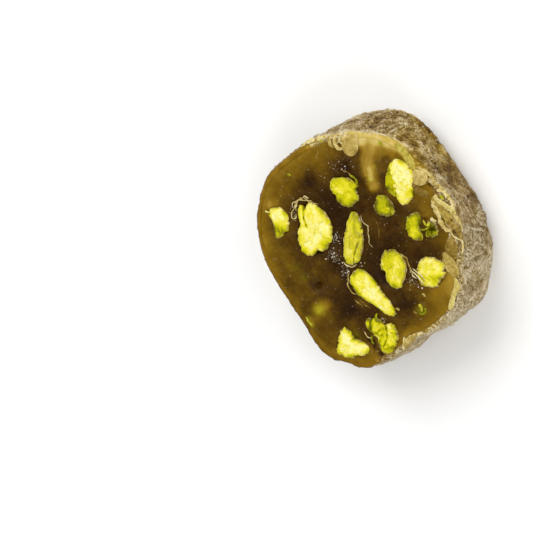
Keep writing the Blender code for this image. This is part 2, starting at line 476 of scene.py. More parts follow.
# %% The kernels' forms
Kernel = namedtuple("Kernel", "x y length width turn power taper bend depth proud changes")
KERNELS = {
    "kernel_split": Kernel(7.4, 7.1, 10.2, 7.4, 146, 1.9, -0.10, 0.4, 4.2, 0.7,
                           ((-140, 0.14, 18), (-110, -0.08, 30))),
    "kernel_long": Kernel(1.5, 1.5, 10.4, 4.2, 139, 2.0, -0.20, 0.1, 3.4, 0.7, ()),
    "kernel_club": Kernel(-9.2, 4.5, 11.5, 4.3, 10, 2.3, -0.38, 0.2, 3.4, 0.7,
                          ((107, -0.36, 28),)),
    "kernel_pale": Kernel(4.5, -12.5, 8.3, 6.0, 157, 1.9, 0.17, -0.1, 3.6, 0.6,
                          ((-129, -0.10, 23), (-49, -0.19, 18))),
    "kernel_lime": Kernel(9.5, -2.6, 6.6, 5.3, 15, 2.0, 0.24, -0.1, 3.4, 0.6,
                          ((-139, -0.15, 18), (-83, -0.10, 23))),
    "kernel_diamond": Kernel(-7.5, -1.8, 8.0, 5.0, 152, 1.9, 0.24, 0.0, 3.2, 0.6,
                             ((148, -0.14, 34),)),
    "kernel_round": Kernel(-12.0, -7.2, 5.9, 5.6, 114, 2.2, 0.0, -0.1, 3.4, 0.7,
                           ((-81, -0.10, 20),)),
    "kernel_heart": Kernel(-14.3, 13.9, 7.0, 4.9, 28, 2.8, -0.30, 0.5, 3.2, 0.6,
                           ((8, -0.16, 42), (127, -0.37, 28))),
    "kernel_side": Kernel(12.3, 11.8, 6.1, 3.7, 158, 2.7, 0.11, 0.5, 3.2, 0.4,
                          ((77, -0.10, 27), (26, -0.16, 27))),
    "kernel_olive": Kernel(2.7, -7.2, 4.3, 3.9, 2, 2.2, 0.0, 0.2, 2.8, 0.4,
                           ((118, -0.07, 30),)),
    "kernel_sunk": Kernel(-3.7, -9.9, 5.8, 3.4, 152, 2.0, -0.06, -0.4, 2.8, 0.3,
                          ((76, -0.26, 23),)),
    "kernel_crumb": Kernel(-5.9, -12.1, 3.3, 2.6, 150, 2.4, 0.0, 0.0, 2.2, 0.4,
                           ((-60, -0.16, 26),)),
    "kernel_curled": Kernel(-15.9, 7.7, 7.6, 5.3, 3, 2.0, 0.14, -0.5, 3.0, 0.5,
                            ((-59, -0.42, 17), (89, -0.42, 28))),
}
KERNEL_SINK = 0.5           # depth at which a kernel is widest


# %% The kernels' outlines
def signed_power(value, power):
    """|value| to a power, with the sign of the value."""
    return np.sign(value) * np.abs(value) ** power


def kernel_outline(kernel, angle, scale=1.0):
    """u along the kernel and v across it, in mm, at an angle round its outline.

    u = length / 2 * c, v = width / 2 * s * (1 - taper * c) + bend * (1 - 2 c^2),
    with c and s the superellipse's cosine and sine times (1 + changes).
    """
    turn = np.radians(angle)
    keep = 1.0 + changes_at(angle, kernel.changes)
    along = keep * signed_power(np.cos(turn), 2.0 / kernel.power)
    across = keep * signed_power(np.sin(turn), 2.0 / kernel.power)
    across = across * (1.0 - kernel.taper * along)
    u = 0.5 * kernel.length * along * scale
    v = (0.5 * kernel.width * across + kernel.bend * (1.0 - 2.0 * along * along)) * scale
    return u, v


def kernel_to_face(kernel, u, v):
    """Turns u and v by the kernel's turn and moves them to its place."""
    swing = math.radians(kernel.turn)
    x = kernel.x + u * math.cos(swing) - v * math.sin(swing)
    y = kernel.y + u * math.sin(swing) + v * math.cos(swing)
    return x, y


def past_outline(kernel, x, y):
    """Millimetres from a kernel's outline to a point, below 0 inside it.

    It is the point's distance from the middle less the outline's distance in
    the same direction, read from a closed list of outline points.
    """
    rim_x, rim_y = kernel_to_face(kernel, *kernel_outline(kernel, np.arange(0.0, 360.0, 3.0)))
    direction = np.degrees(np.arctan2(rim_y - kernel.y, rim_x - kernel.x))
    reach = np.hypot(rim_x - kernel.x, rim_y - kernel.y)
    wanted = np.degrees(np.arctan2(y - kernel.y, x - kernel.x))
    return np.hypot(x - kernel.x, y - kernel.y) - np.interp(wanted, direction[direction.argsort()],
                                                            reach[direction.argsort()], period=360.0)


def nearest_kernel(x, y):
    """Millimetres from the nearest kernel's outline, below 0 inside one."""
    return np.minimum.reduce([past_outline(kernel, x, y) for kernel in KERNELS.values()])


print(len(KERNELS), "kernels, the longest", max(k.length for k in KERNELS.values()), "mm")

# %% [markdown]
# ## The section of the block
#
# Gel and skin share one section, walked from the middle of the floor up the
# wall and over the rim: a flat floor, a quarter circle, the wall, and the
# small quarter circle that the knife left.  Each step keeps a share of the
# rim's radius, goes in from it by an inset, and knows which way is outwards.

# %% The section
Section = namedtuple("Section", "share inset height bulge out up")


def block_section(floor_rows, arc_rows, wall_rows, rim_rows):
    """The section's rows: share of the radius, inset, height, bulge, outward direction."""
    keep = np.linspace(0.0, 1.0, floor_rows + 1)[1:]
    flat = np.zeros_like(keep)
    low = np.linspace(0.0, 0.5 * np.pi, arc_rows + 1)[1:]
    climb = np.linspace(0.0, 1.0, wall_rows + 1)[1:]
    high = np.linspace(0.0, 0.5 * np.pi, rim_rows + 1)[1:]
    wall_top = THICKNESS - RIM_ROUND
    parts = (
        (keep, LOWER_ROUND * keep, flat, flat, flat, flat - 1.0),
        (low * 0.0 + 1.0, LOWER_ROUND * (1.0 - np.sin(low)), LOWER_ROUND * (1.0 - np.cos(low)),
         low / (0.5 * np.pi), np.sin(low), -np.cos(low)),
        (climb * 0.0 + 1.0, climb * 0.0, LOWER_ROUND + (wall_top - LOWER_ROUND) * climb,
         np.abs(np.cos(0.5 * np.pi * climb)) ** BULGE_FADE, climb * 0.0 + 1.0, climb * 0.0),
        (high * 0.0 + 1.0, RIM_ROUND * (1.0 - np.cos(high)), wall_top + RIM_ROUND * np.sin(high),
         high * 0.0, np.cos(high), np.sin(high)),
    )
    return Section(*(np.concatenate(column)[:, None] for column in zip(*parts)))


def block_points(angle, section, shrink=0.0):
    """x, y and z of the section carried round the block, moved in by `shrink`.

    radius = rim * share - inset + bulge, and the height follows the sag of
    the cut face above it.
    """
    radius = rim_radius(angle) * section.share - section.inset + section.bulge * wall_bulge(angle)
    radius = radius - shrink * section.out
    x, y = polar(radius, angle)
    climb = section.height / THICKNESS
    z = section.height * (1.0 + (face_height(x, y) / THICKNESS - 1.0) * climb)
    z = z + changes_at(angle, RIM_LIPS) * np.clip(section.up, 0.0, 1.0)
    return x, y, z - shrink * section.up


example = block_section(2, 3, 5, 5)
print("a section of", len(example.share), "rows climbs to", round(float(example.height.max()), 1), "mm")

# %% [markdown]
# ## The gel
#
# The gel is cooked starch and grape must: a brown glass that swallows light
# where it is thick and glows amber where it thins to the rim.  Real volume
# scattering would be slow and would not survive an export, so the depth of
# colour is painted: one number per point, dark in the middle and light at
# the rim, with a list of the darker and lighter clouds that a real piece has.
#
# Its face is not flat.  It dips round each kernel, because nut and gel part
# under the knife, it has a ridge over a buried kernel, and a few pits.

# %% Relief of the cut face
# x, y, reach, depth: holes and hollows in the gel.
GEL_PITS = (
    (-1.6, 12.7, 0.75, 0.9), (-2.6, 11.6, 0.4, 0.3), (-15.3, -2.7, 0.35, 0.5),
    (14.9, 2.8, 0.6, 0.15), (-3.7, -12.1, 0.45, 0.6), (-16.3, 9.8, 0.5, 0.6),
    (-17.8, 10.1, 0.5, 0.7), (-19.1, 9.9, 0.5, 0.5), (18, 5.7, 0.3, 0.15),
    (10.9, -4.9, 0.35, 0.4), (-13.8, 6.4, 0.6, 0.4), (1, 11.4, 0.4, 0.2), (16.9, -7.5, 0.5, 0.5),
)
# x, y, x, y, half width, rise: ridges and drawn lines.
GEL_RIDGES = (
    (12.9, -11.7, 9.9, -9.2, 1, 0.30), (9.9, -9.2, 6.3, -7.9, 0.9, 0.30),
    (13.2, -9.9, 10.6, -7.6, 0.8, -0.30), (11.2, -12.6, 8.4, -10.9, 0.8, -0.35),
    (-9.6, 0.6, -12.4, 1.9, 0.5, -0.25), (-6.2, 1.3, -9.6, 0.8, 0.55, -0.35),
    (12.6, 7.4, 9.4, 10.4, 0.5, -0.25),
)
MOAT_WIDTH = 0.30
MOAT_DEPTH = 0.05
SINK_UNDER_KERNEL = 0.9


# %% The height of the cut face
def line_distance(x, y, x0, y0, x1, y1):
    """Distance to the stretch between two points: to the nearest place on it."""
    span_x, span_y = x1 - x0, y1 - y0
    share = ((x - x0) * span_x + (y - y0) * span_y) / (span_x ** 2 + span_y ** 2)
    share = np.clip(share, 0.0, 1.0)
    return np.hypot(x - x0 - share * span_x, y - y0 - share * span_y)


def stroke(x, y, x0, y0, x1, y1, width):
    """A bell across the line between two points, narrowing to nothing at both ends."""
    share = ((x - x0) * (x1 - x0) + (y - y0) * (y1 - y0)) / ((x1 - x0) ** 2 + (y1 - y0) ** 2)
    taper = np.clip(1.0 - np.abs(2.0 * share - 1.0) ** 3.0, 0.02, 1.0)
    return bell(line_distance(x, y, x0, y0, x1, y1), width * taper)


def face_waves(x, y):
    """The slow waves that gel, lip and flaps share."""
    return 0.16 * cloud(x, y, 0.0, 4.0, 7)


def gel_height(x, y, from_kernel):
    """Height of the gel's face: its slow form, ridges, pits, moats and waves."""
    ridge = np.zeros(x.shape)
    valley = np.zeros(x.shape)
    for x0, y0, x1, y1, width, rise in GEL_RIDGES:
        share = rise * bell(line_distance(x, y, x0, y0, x1, y1), width)
        ridge = np.maximum(ridge, share)
        valley = np.minimum(valley, share)
    height = face_height(x, y) + ridge + valley
    for pit_x, pit_y, reach, depth in GEL_PITS:
        height = height - depth * bell(np.hypot(x - pit_x, y - pit_y), reach) ** 2
    ragged = from_kernel + 0.18 * noise(x, y, 0.0, 0.8, 5)
    height = height - MOAT_DEPTH * bell(ragged, MOAT_WIDTH)
    height = height - SINK_UNDER_KERNEL * ease(-ragged / 0.5)
    waves = face_waves(x, y) + 0.035 * noise(x, y, 0.0, 0.7, 9)
    nicks = 0.10 * veins(x, y, 0.0, 2.6, 31, 14.0) * ease(noise(x, y, 0.0, 5.0, 33) * 2.0)
    return height + waves - nicks


print(len(GEL_PITS), "pits and", len(GEL_RIDGES), "ridges and drawn lines in the face")

# %% Depth of colour of the gel
# x, y, reach, change: lighter and darker clouds in the gel, and painted shade in four pits near the rim; 1 is
# as light as skin.
GEL_CLOUDS = (
    (15.1, 2.6, 1.7, -0.13), (13, -5.6, 2.6, -0.13), (8, 1.2, 3, -0.06),
    (-9.4, 10.4, 2.4, -0.09), (-2.6, 7.6, 2, -0.03), (-7.8, 1.1, 1, -0.10),
    (-13.6, 0.8, 1.6, -0.08), (-4.6, -4.2, 3, -0.04), (-9.6, -10, 2.5, -0.08),
    (2.6, -3.2, 2.4, 0.06), (-12, -2.4, 1.1, 0.10), (-12.6, 0.9, 0.8, 0.06),
    (-8.9, 7.4, 1.2, 0.12), (-5.3, 15.1, 1.3, 0.20), (-6.2, 18.2, 0.8, 0.12),
    (3, 14.2, 2.2, 0.03), (-15.2, -7.2, 2.4, 0.14), (-15, -3.8, 2.2, 0.06),
    (16.4, -2, 2.4, 0.03), (-1.2, -13, 1.6, 0.12), (-2.2, -8, 0.9, 0.08),
    (15.9, 11.4, 0.9, 0.16), (15.2, 9.6, 0.8, 0.14), (-14.8, 12.4, 0.9, 0.10),
    (-16.9, 10.8, 0.7, 0.10), (-18.6, 2.6, 1.4, 0.04), (2, 18, 3, -0.11),
    (-4, 18.6, 3, -0.10), (-10, 17.6, 2.6, -0.09),
    (1.2, 11.4, 1, 0.10), (-4.4, -12.6, 2, 0.05), (-6.4, 3, 0.9, -0.07),
    (0.2, -3.4, 1.8, 0.06), (-4, 17, 1.6, -0.05), (4.2, -9.6, 1.2, 0.12), (-5, -5.2, 1.6, 0.06),
    (-8.2, -7, 1.4, -0.07), (-14.4, -1, 1.4, -0.11), (-16.6, 1, 2.2, -0.06), (17.4, 3.2, 1.6, 0.05),
    (-5.2, 13.3, 1.2, 0.14), (-11, 11.2, 1.3, 0.11), (-2.8, 9.2, 1.2, 0.10), (-7.2, 14.4, 1.3, 0.08),
    (5, 15.2, 1, 0.09), (-1, -12.6, 0.9, -0.08), (-1, 13.2, 0.8, -0.09), (-17, -3.2, 1, -0.07),
    (-17, 2.8, 1.2, -0.07), (15, 9.2, 0.8, -0.07), (1, 7.2, 0.9, -0.05), (1, 9.2, 0.9, 0.08),
    (-1.2, -7, 0.8, -0.06), (-13.2, -1, 0.7, 0.05),
    # The last four are painted shade: they darken the pits near the rim that GEL_PITS sinks there.
    (16.9, -7.5, 0.5, -0.30), (-15.4, 9.9, 0.6, -0.22), (-17.1, 10.2, 0.6, -0.25), (-19, 9.9, 0.5, -0.25),
)
# x, y, x, y, half width, lightness: the pale ledge, its ridge with a painted highlight on its crest, and the
# valleys beside it.
GEL_BANDS = (
    (15, -10.4, 12.4, -9, 0.8, 0.46), (11, -13.8, 9.6, -12.8, 0.9, 0.45),
    (9.4, -12.8, 7.4, -10.6, 0.7, 0.26), (13.8, -9.2, 12.2, -6.8, 0.8, 0.26),
    (15.9, -11, 14.2, -12.8, 2.1, 0.84), (14, -13, 11.6, -15.1, 2.1, 0.82),
    (13.9, -12.4, 12.4, -11.6, 0.9, 0.74), (13.6, -12.1, 12, -13.4, 0.95, 0.80),
    (12.9, -11, 10, -9.1, 1.15, 0.60),
    # (9.8, -9.4) to (8, -8.5) is a painted highlight along the ridge's crest.
    (10, -9.2, 6.9, -7.9, 1, 0.60), (9.8, -9.4, 8, -8.5, 0.5, 0.72),
    (11.3, -12.5, 9.8, -14, 0.8, 0.50), (9.3, -12.9, 8.5, -11.2, 0.7, 0.34),
    (11.2, -15.6, 7.6, -16.6, 0.8, 0.72),
    (8.6, -16.6, 3.9, -16.3, 0.85, 0.74), (-14.2, -10.1, -17.2, -8.8, 1, 0.58),
    (-0.2, -16.6, -6.2, -16.4, 0.8, 0.48), (1.6, -14, -1.6, -15.8, 0.8, 0.44),
)
# x, y, reach, share: where nut shows through the gel as a green glow.
GEL_GLOWS = (
    (-5.3, 15.2, 1.1, 0.75), (-5.4, 18.1, 0.5, 0.8), (-6.8, 18.1, 0.45, 0.7),
    (3.6, 13.8, 0.8, 0.25), (1.2, 13.9, 0.8, 0.35), (18.2, 4.6, 0.3, 0.9),
    (12.4, -13.5, 0.35, 0.9), (8.2, -8.2, 0.45, 0.7), (9.6, -10.4, 0.3, 0.45),
    (19.7, -4.3, 0.5, 0.7), (-13.2, 11.9, 0.9, 0.45), (-16.4, -1.3, 0.75, 0.9), (-1.4, -9.2, 0.6, 0.35),
    (3.9, 14.9, 0.4, 0.3), (-2.7, -16.3, 0.5, 0.8), (6.4, -16.3, 1.2, 0.45),
    (-2, -15.6, 0.5, 0.4),
)
MIDDLE_TONE = 0.215         # about as dark as roasted coffee
RIM_TONE = 0.200            # added towards the rim
EDGE_TONE = 0.07            # added again on its last millimetre


print(len(GEL_CLOUDS), "clouds,", len(GEL_BANDS), "bands and", len(GEL_GLOWS), "green glows in the gel")


def gel_tone(x, y, to_rim):
    """Lightness of the gel, 0 to 1: the middle, two steps to the rim, clouds and bands, with painted shade in
    pits and a painted highlight on a ridge's crest.
    """
    soft_x = x + 0.6 * noise(x, y, 0.0, 2.2, 41) + 0.2 * noise(x, y, 0.0, 0.8, 42)
    soft_y = y + 0.6 * noise(x, y, 0.0, 2.2, 43) + 0.2 * noise(x, y, 0.0, 0.8, 44)
    tone = MIDDLE_TONE + RIM_TONE * bell(np.maximum(to_rim, 0.0), 6.0)
    tone = tone + EDGE_TONE * bell(np.maximum(to_rim, 0.0), 1.1)
    for cloud_x, cloud_y, reach, change in GEL_CLOUDS:
        tone = tone + change * bell(np.hypot(soft_x - cloud_x, soft_y - cloud_y), reach)
    near_x = 0.5 * x + 0.5 * soft_x + 0.16 * noise(x, y, 0.0, 0.45, 48)
    near_y = 0.5 * y + 0.5 * soft_y + 0.16 * noise(x, y, 0.0, 0.45, 49)
    for x0, y0, x1, y1, width, target in GEL_BANDS:
        share = bell(line_distance(near_x, near_y, x0, y0, x1, y1), width)
        firm = ease(1.7 * share - 0.25)
        tone = tone + (target - tone) * (firm if target > 0.7 else share * (2.0 - share))
    tone = tone + 0.055 * cloud(x, y, 0.0, 3.0, 45) + 0.03 * noise(x, y, 0.0, 0.7, 46)
    return tone


def gel_glow(x, y):
    """Share of green in the gel: bells round the places where nut shows through."""
    glow = np.zeros(x.shape)
    for glow_x, glow_y, reach, share in GEL_GLOWS:
        glow = glow + share * bell(np.hypot(x - glow_x, y - glow_y), reach)
    return np.clip(glow + 0.1 * noise(x, y, 0.0, 0.6, 47) * (glow > 0.1), 0.0, 1.0)

# %% The gel's surface
GEL_COLUMNS = 560
GEL_FACE_ROWS = 92
GEL_INSET = 0.3             # under the skin
GEL_SECTION_ROWS = (2, 3, 5, 5)         # floor, lower round, wall, rim
EDGE_DIP = 0.12             # how far the face sinks at its very edge


def gel_surface():
    """Floor, wall and rim under the skin, then the cut face in rings to its middle."""
    angle = np.arange(GEL_COLUMNS) * 360.0 / GEL_COLUMNS
    section = block_section(*GEL_SECTION_ROWS)
    hidden = np.stack(block_points(angle, section, GEL_INSET), axis=-1)
    share = np.linspace(1.0, 0.0, GEL_FACE_ROWS + 1)[:-1, None]
    edge = rim_radius(angle) - RIM_ROUND
    radius = edge * share
    x, y = polar(radius, angle)
    to_rim = edge - radius
    from_kernel = nearest_kernel(x, y)
    z = gel_height(x, y, from_kernel)
    z = z + changes_at(angle, RIM_LIPS) * bell(to_rim, LIP_FADE) - EDGE_DIP * bell(to_rim, 0.5)
    points = np.concatenate([hidden, np.stack([x, y, z], axis=-1)])
    under = np.zeros((hidden.shape[0], GEL_COLUMNS))
    paint = {
        "tone": np.concatenate([under + MIDDLE_TONE + RIM_TONE + EDGE_TONE,
                                gel_tone(x, y, to_rim)]),
        "glow": np.concatenate([under, gel_glow(x, y)]),
    }
    middle = [0.0, 0.0, float(z[-1].mean())]
    return Surface(points, [0.0, 0.0, GEL_INSET], middle, paint)


gel_grid = gel_surface()
print("gel grid:", gel_grid.points.shape[:2], "rows and columns")


# %% The gel's finish
def gel_finish():
    """Brown glass: a ramp from coffee to amber, low shine, faint dust and pores."""
    recipe = Recipe("gel", roughness=0.42, specular=0.07)
    blur = recipe.grain(1.3, 3.0)
    fine = recipe.grain(0.25, 2.0)
    tone = recipe.stirred(recipe.painted("tone"), blur, 0.07)
    tone = recipe.stirred(tone, fine, 0.06)
    brown = recipe.ramp(tone, (
        (0.12, (34, 17, 2)), (0.20, (52, 31, 3)), (0.28, (74, 50, 5)), (0.38, (104, 76, 8)),
        (0.48, (134, 102, 16)), (0.60, (166, 134, 44)), (0.74, (197, 169, 82)),
        (0.88, (222, 202, 130)), (1.0, (242, 230, 180)),
    ))
    green = recipe.ramp(tone, (
        (0.14, (58, 52, 6)), (0.35, (120, 112, 12)), (0.60, (180, 172, 30)), (0.90, (236, 226, 120)),
    ))
    colour = recipe.mix(recipe.painted("glow"), brown, green)
    dust = recipe.fade(recipe.grain(0.16, 1.0), 0.66, 0.78, 0.0, 0.30)
    colour = recipe.mix(dust, colour, linear(126, 106, 70))
    rough = recipe.fade(blur, 0.3, 0.7, 0.34, 0.52)
    normal = recipe.bump(fine, 0.05)
    normal = recipe.bump(recipe.grain(0.9, 3.0), 0.18, normal)
    return recipe.finish(colour, rough, normal)


write_piece("gel_body", [gel_grid], gel_finish(), ["gel_block"])

# %% [markdown]
# ## The starch skin
#
# Freshly cast delight is rolled in starch, which drinks water from the gel
# and dries to a tough film.  As the sweet shrinks the film wrinkles: broad
# dents, folds, then a fine network of creases, where starch stays white.
# The raised creases and short scratches are painted lighter, partly as
# starch and partly as painted highlights.
# The knife dragged this film over the rim, so it ends in a ragged lip on the
# cut face.
#
# It is a thin closed shell: the block's section on the outside, the lip
# folded in over the face, then back down just inside.  The unevenness moves
# each point along the section's outward direction.

# %% The skin's relief
# angle, width in mm, half width in degrees: how far the skin folds over the face.
LIP_WIDTHS = (
    (-25, 0.6, 7), (-45, -0.25, 14), (-66, 0.3, 6), (-82, 0.9, 7),
    (-101, 1.4, 7), (-114, 1.5, 6), (-124, 1.2, 5), (-136, 2.4, 6),
    (-155, 0.5, 7), (-177, -0.2, 16), (60, -0.12, 60),
)
LEAST_LIP = 0.25
# angle, height, angle, height, half width, rise: creases drawn in the wall.
CREASES = (
    (-64, 16.2, -75, 12.8, 0.20, 0.45), (-61, 15.4, -78, 11.8, 0.16, 0.35),
    (-60, 13.6, -72, 11, 0.18, 0.30), (-66, 14.8, -72, 13.2, 0.14, 0.30),
    (-50, 15.5, -54, 9, 0.22, 0.30), (-42, 12, -57, 9.5, 0.22, 0.30),
    (-84, 15.5, -98, 13.2, 0.18, 0.30), (-86, 14.2, -110, 11.8, 0.16, 0.25),
    (-92, 16.2, -112, 14.4, 0.16, 0.30), (-103, 13, -120, 10, 0.18, 0.25),
    (-118, 15, -124, 6.5, 0.24, 0.22), (-131, 15.6, -126, 9, 0.20, 0.20),
    (-128, 12, -136, 4, 0.26, 0.22), (-142, 14, -137, 8, 0.22, 0.18),
    (-160, 14.5, -171, 13.5, 0.24, 0.25),
    (-150, 12, -163, 9, 0.22, 0.25), (-176, 12, -178, 5, 0.3, 0.3),
    (34, 15.5, 37, 1.5, 0.55, 0.35), (52, 14, 50, 4, 0.35, 0.30),
    (140, 15, 144, 2, 0.50, 0.35), (-8, 15.5, -4, 3, 0.45, 0.35),
    (-22, 14, -28, 5, 0.35, 0.30), (64, 15, 96, 7.5, 0.30, 0.35),
    (96, 7.5, 70, 10.5, 0.22, 0.30), (96, 7.5, 74, 4, 0.25, 0.30),
    (96, 7.5, 84, 1.8, 0.22, 0.30), (96, 7.5, 116, 13, 0.28, 0.35),
    (96, 7.5, 122, 9, 0.25, 0.30), (96, 7.5, 116, 3, 0.24, 0.30),
    (96, 7.5, 101, 15, 0.26, 0.30), (2, 13.5, 30, 8, 0.25, 0.30),
    (6, 6, 30, 10, 0.25, 0.25), (124, 14.5, 158, 10, 0.28, 0.30),
    (128, 6, 164, 4.5, 0.25, 0.25), (158, 14, 172, 6, 0.30, 0.30),
    (-24, 9, -52, 4, 0.24, 0.25), (44, 9, 62, 12, 0.22, 0.25),
    (-20, 16.2, -40, 16.2, 0.24, 0.3), (-36, 16.1, -56, 16.2, 0.22, 0.3),
    (-52, 16.2, -68, 15.9, 0.20, 0.3),
)
BLISTER = (-117.0, 5.2, 4.2, 2.6)     # angle, height, half width in degrees, half height in mm
CALM_STRETCH = (-70.0, 30.0)          # angle, half width: fewer wrinkles, and thinner starch


print(len(CREASES), "creases are drawn in the wall")


# %% The film's rise and its ridges
def skin_relief(angle, x, y, z):
    """Outward rise of the film, and how much it is a ridge, painted lighter: partly starch that stays there,
    partly painted highlight on crests and scratches.

    Rise = broad dents + flat crumpled cells + folds + a net of creases +
    worm-like wrinkles + short scratches + drawn creases.  The place at which
    each noise is read is shifted by a wider noise, so that the lines curl.
    """
    low = z * 0.45
    dents = 0.30 * noise(x, y, low, 8.0, 61) + 0.16 * noise(x, y, low, 3.6, 62)
    shift = 0.9 * noise(x, y, z, 2.6, 63) + 0.30 * noise(x, y, z, 0.9, 69)
    swing = 0.9 * noise(x, y, z, 2.9, 60) + 0.30 * noise(x, y, z, 1.0, 59)
    crumpled = facets((x + 0.4 * shift, y + 0.4 * swing, z), 1.7, 57)
    small = facets((x + 0.3 * swing, y + 0.3 * shift, z), 0.8, 58)
    folds = veins(x + shift, y + swing, low, 3.0, 64, 6.0)
    net = veins(x + swing, y - shift, z * 0.8, 1.5, 65, 7.0)
    calm = 0.6 * bell(turn_between(angle, CALM_STRETCH[0]), CALM_STRETCH[1])
    wormy = 0.35 + 0.65 * ease(0.7 + 1.2 * noise(x, y, low, 6.0, 56) - calm)
    worms = veins(x - shift, y + swing, z, 1.05, 66, 4.0) * wormy
    thin = scratches((x + 0.3 * shift, y + 0.3 * swing, z), 2.2, 0.24, 53)
    rise = dents + 0.13 * crumpled + 0.05 * small + 0.18 * folds + 0.13 * net + 0.14 * worms + 0.09 * thin
    ridge = 0.35 * folds + 0.45 * net + 0.55 * worms + 0.75 * thin + 0.16 * crumpled + 0.12 * small
    arc = math.pi * HALF_LENGTH / 180.0
    wavy = 0.5 * noise(x, y, z, 1.6, 68) + 0.5 * noise(x, y, z, 3.5, 55)
    for angle0, z0, angle1, z1, width, lift in CREASES:
        across = turn_between(angle, angle0) * arc
        share = stroke(across + wavy, z + wavy, 0.0, z0, turn_between(angle1, angle0) * arc, z1, width)
        rise = rise + lift * share
        ridge = ridge + 0.8 * share
    blister = np.hypot(turn_between(angle, BLISTER[0]) / BLISTER[2], (z - BLISTER[1]) / BLISTER[3])
    blister = blister + 0.35 * shift
    rise = rise + 0.45 * ease(1.3 - blister) - 0.15 * bell(blister - 1.15, 0.15)
    ridge = ridge + 0.8 * bell(blister - 1.0, 0.12)
    return rise, np.clip(ridge, -0.3, 1.4)

# %% How pale the skin is
# angle, height, half width in degrees, half height in mm, change of lightness.
SKIN_CLOUDS = (
    (-50, 12, 30, 12, -0.04), (-95, 8, 16, 8, -0.04),
    (-112, 13, 9, 4, 0.07), (-148, 8, 26, 14, 0.12),
    (-178, 14, 18, 7, 0.20), (150, 15, 20, 5, 0.10),
    (-24, 16, 8, 3, 0.14), (-3, 15.5, 6, 2.5, 0.24),
    (90, 9, 50, 9, 0.04), (20, 8, 30, 8, 0.04),
    (-62, 16.4, 7, 0.7, 0.16), (-74, 17.2, 9, 0.7, 0.24), (-46, 15.9, 16, 0.4, 0.30),
    (-173, 16.6, 13, 1.4, 0.14), (-12, 16.4, 7, 1.2, 0.24), (-2, 16.2, 6, 1.2, 0.20),
    (177, 17.2, 14, 0.5, -0.22), (174, 15.9, 13, 0.7, 0.22),
)
# angle, height, half width in degrees, half height in mm, share of bare amber gel.
SKIN_AMBER = (
    (-62, 4, 12, 3.5, 0.75), (-56, 13, 6, 2.5, 0.35), (-74, 7, 8, 3, 0.30),
    (40, 17.2, 70, 1, 0.95), (120, 17.2, 34, 1, 0.90), (-100, 9, 6, 4, 0.25),
    (-138, 17, 12, 1.2, 0.65), (-74, 17.3, 10, 1, 1), (177, 17.2, 14, 0.6, 1),
    (-110, 17.2, 16, 0.8, 0.45), (-70, 10, 36, 16, 0.55),
)
# middle angle, half width: where the knife left the rim bare, and where the pale ledge meets it.
CLEAN_RIM = (72.0, 78.0)
LEDGE_RIM = (-45.0, 17.0)


print(len(SKIN_CLOUDS), "pale or dark clouds and", len(SKIN_AMBER), "amber places on the skin")


# %% Tone, starch and amber of the skin
def spread(angle, z, centre, height, width, depth):
    """A bell in angle times a bell in height."""
    return bell(turn_between(angle, centre), width) * bell(z - height, depth)


def gel_edge(angle, z):
    """1 on the bare stretch of the rim, down to a ragged line where the skin begins."""
    x, y = polar(MEAN_RADIUS, angle)
    down = 2.3 + 1.5 * noise(x, y, 0.0, 5.0, 78) + 0.8 * noise(x, y, 0.3 * z, 1.4, 79)
    share = ease(0.5 - (np.abs(turn_between(angle, CLEAN_RIM[0])) - CLEAN_RIM[1]) / 10.0)
    return share * ease((z - THICKNESS + down) / 0.7)


def ledge_edge(angle, z):
    """1 on the rim beside the pale ledge, falling off quickly on all sides."""
    share = ease(0.5 - (np.abs(turn_between(angle, LEDGE_RIM[0])) - LEDGE_RIM[1]) / 6.0)
    return share * ease((z - THICKNESS + 1.1) / 0.5)


PALEST_FILM = 1.15          # the lightness that folds and powder level off at


def skin_tone(angle, x, y, z, ridge):
    """Lightness of the film: base, patches, clouds, powder and creases, levelled off by tanh; the creases'
    lightness is partly starch and partly painted highlight.
    """
    tone = 0.21 + 0.12 * cloud(x, y, 0.4 * z, 4.5, 71, 2) + 0.13 * noise(x, y, 0.6 * z, 2.1, 72)
    tone = tone + 0.08 * noise(x, y, z, 0.9, 70)
    for centre, height, width, depth, change in SKIN_CLOUDS:
        tone = tone + change * spread(angle, z, centre, height, width, depth)
    powder = ease(cloud(x, y, 0.5 * z, 3.2, 73, 3) * 1.6 - 0.1)
    # Ridges are painted lighter: partly starch, partly painted highlight where crests and scratches catch the
    # light.
    tone = tone + 0.07 * powder + 0.48 * ridge
    tone = PALEST_FILM * np.tanh(tone / PALEST_FILM)
    edge = 0.47 - 0.10 * bell(turn_between(angle, 112.0), 32.0)
    tone = tone + gel_edge(angle, z) * (edge + 0.08 * noise(x, y, z, 1.5, 75) - tone)
    return tone + ledge_edge(angle, z) * (0.78 + 0.10 * noise(x, y, z, 1.2, 76) - tone)


def skin_starch(angle, x, y, z):
    """How thickly starch stands in the finest wrinkles, 0 to 1: thinner where amber shows."""
    starch = 0.72 + 0.45 * noise(x, y, 0.5 * z, 4.0, 77) - 0.35 * bell(turn_between(angle, -72.0), 30.0)
    bare = np.maximum(gel_edge(angle, z), ledge_edge(angle, z))
    return np.clip(starch, 0.15, 1.0) * (1.0 - 0.92 * bare)


def skin_amber(angle, x, y, z, ridge):
    """Share of the film that is bare and lets the amber gel through."""
    amber = 0.06 + 0.22 * cloud(x, y, 0.6 * z, 3.6, 74)
    for centre, height, width, depth, share in SKIN_AMBER:
        amber = amber + share * spread(angle, z, centre, height, width, depth)
    return np.clip(amber - 0.30 * ridge + gel_edge(angle, z) + ledge_edge(angle, z), 0.0, 1.0)

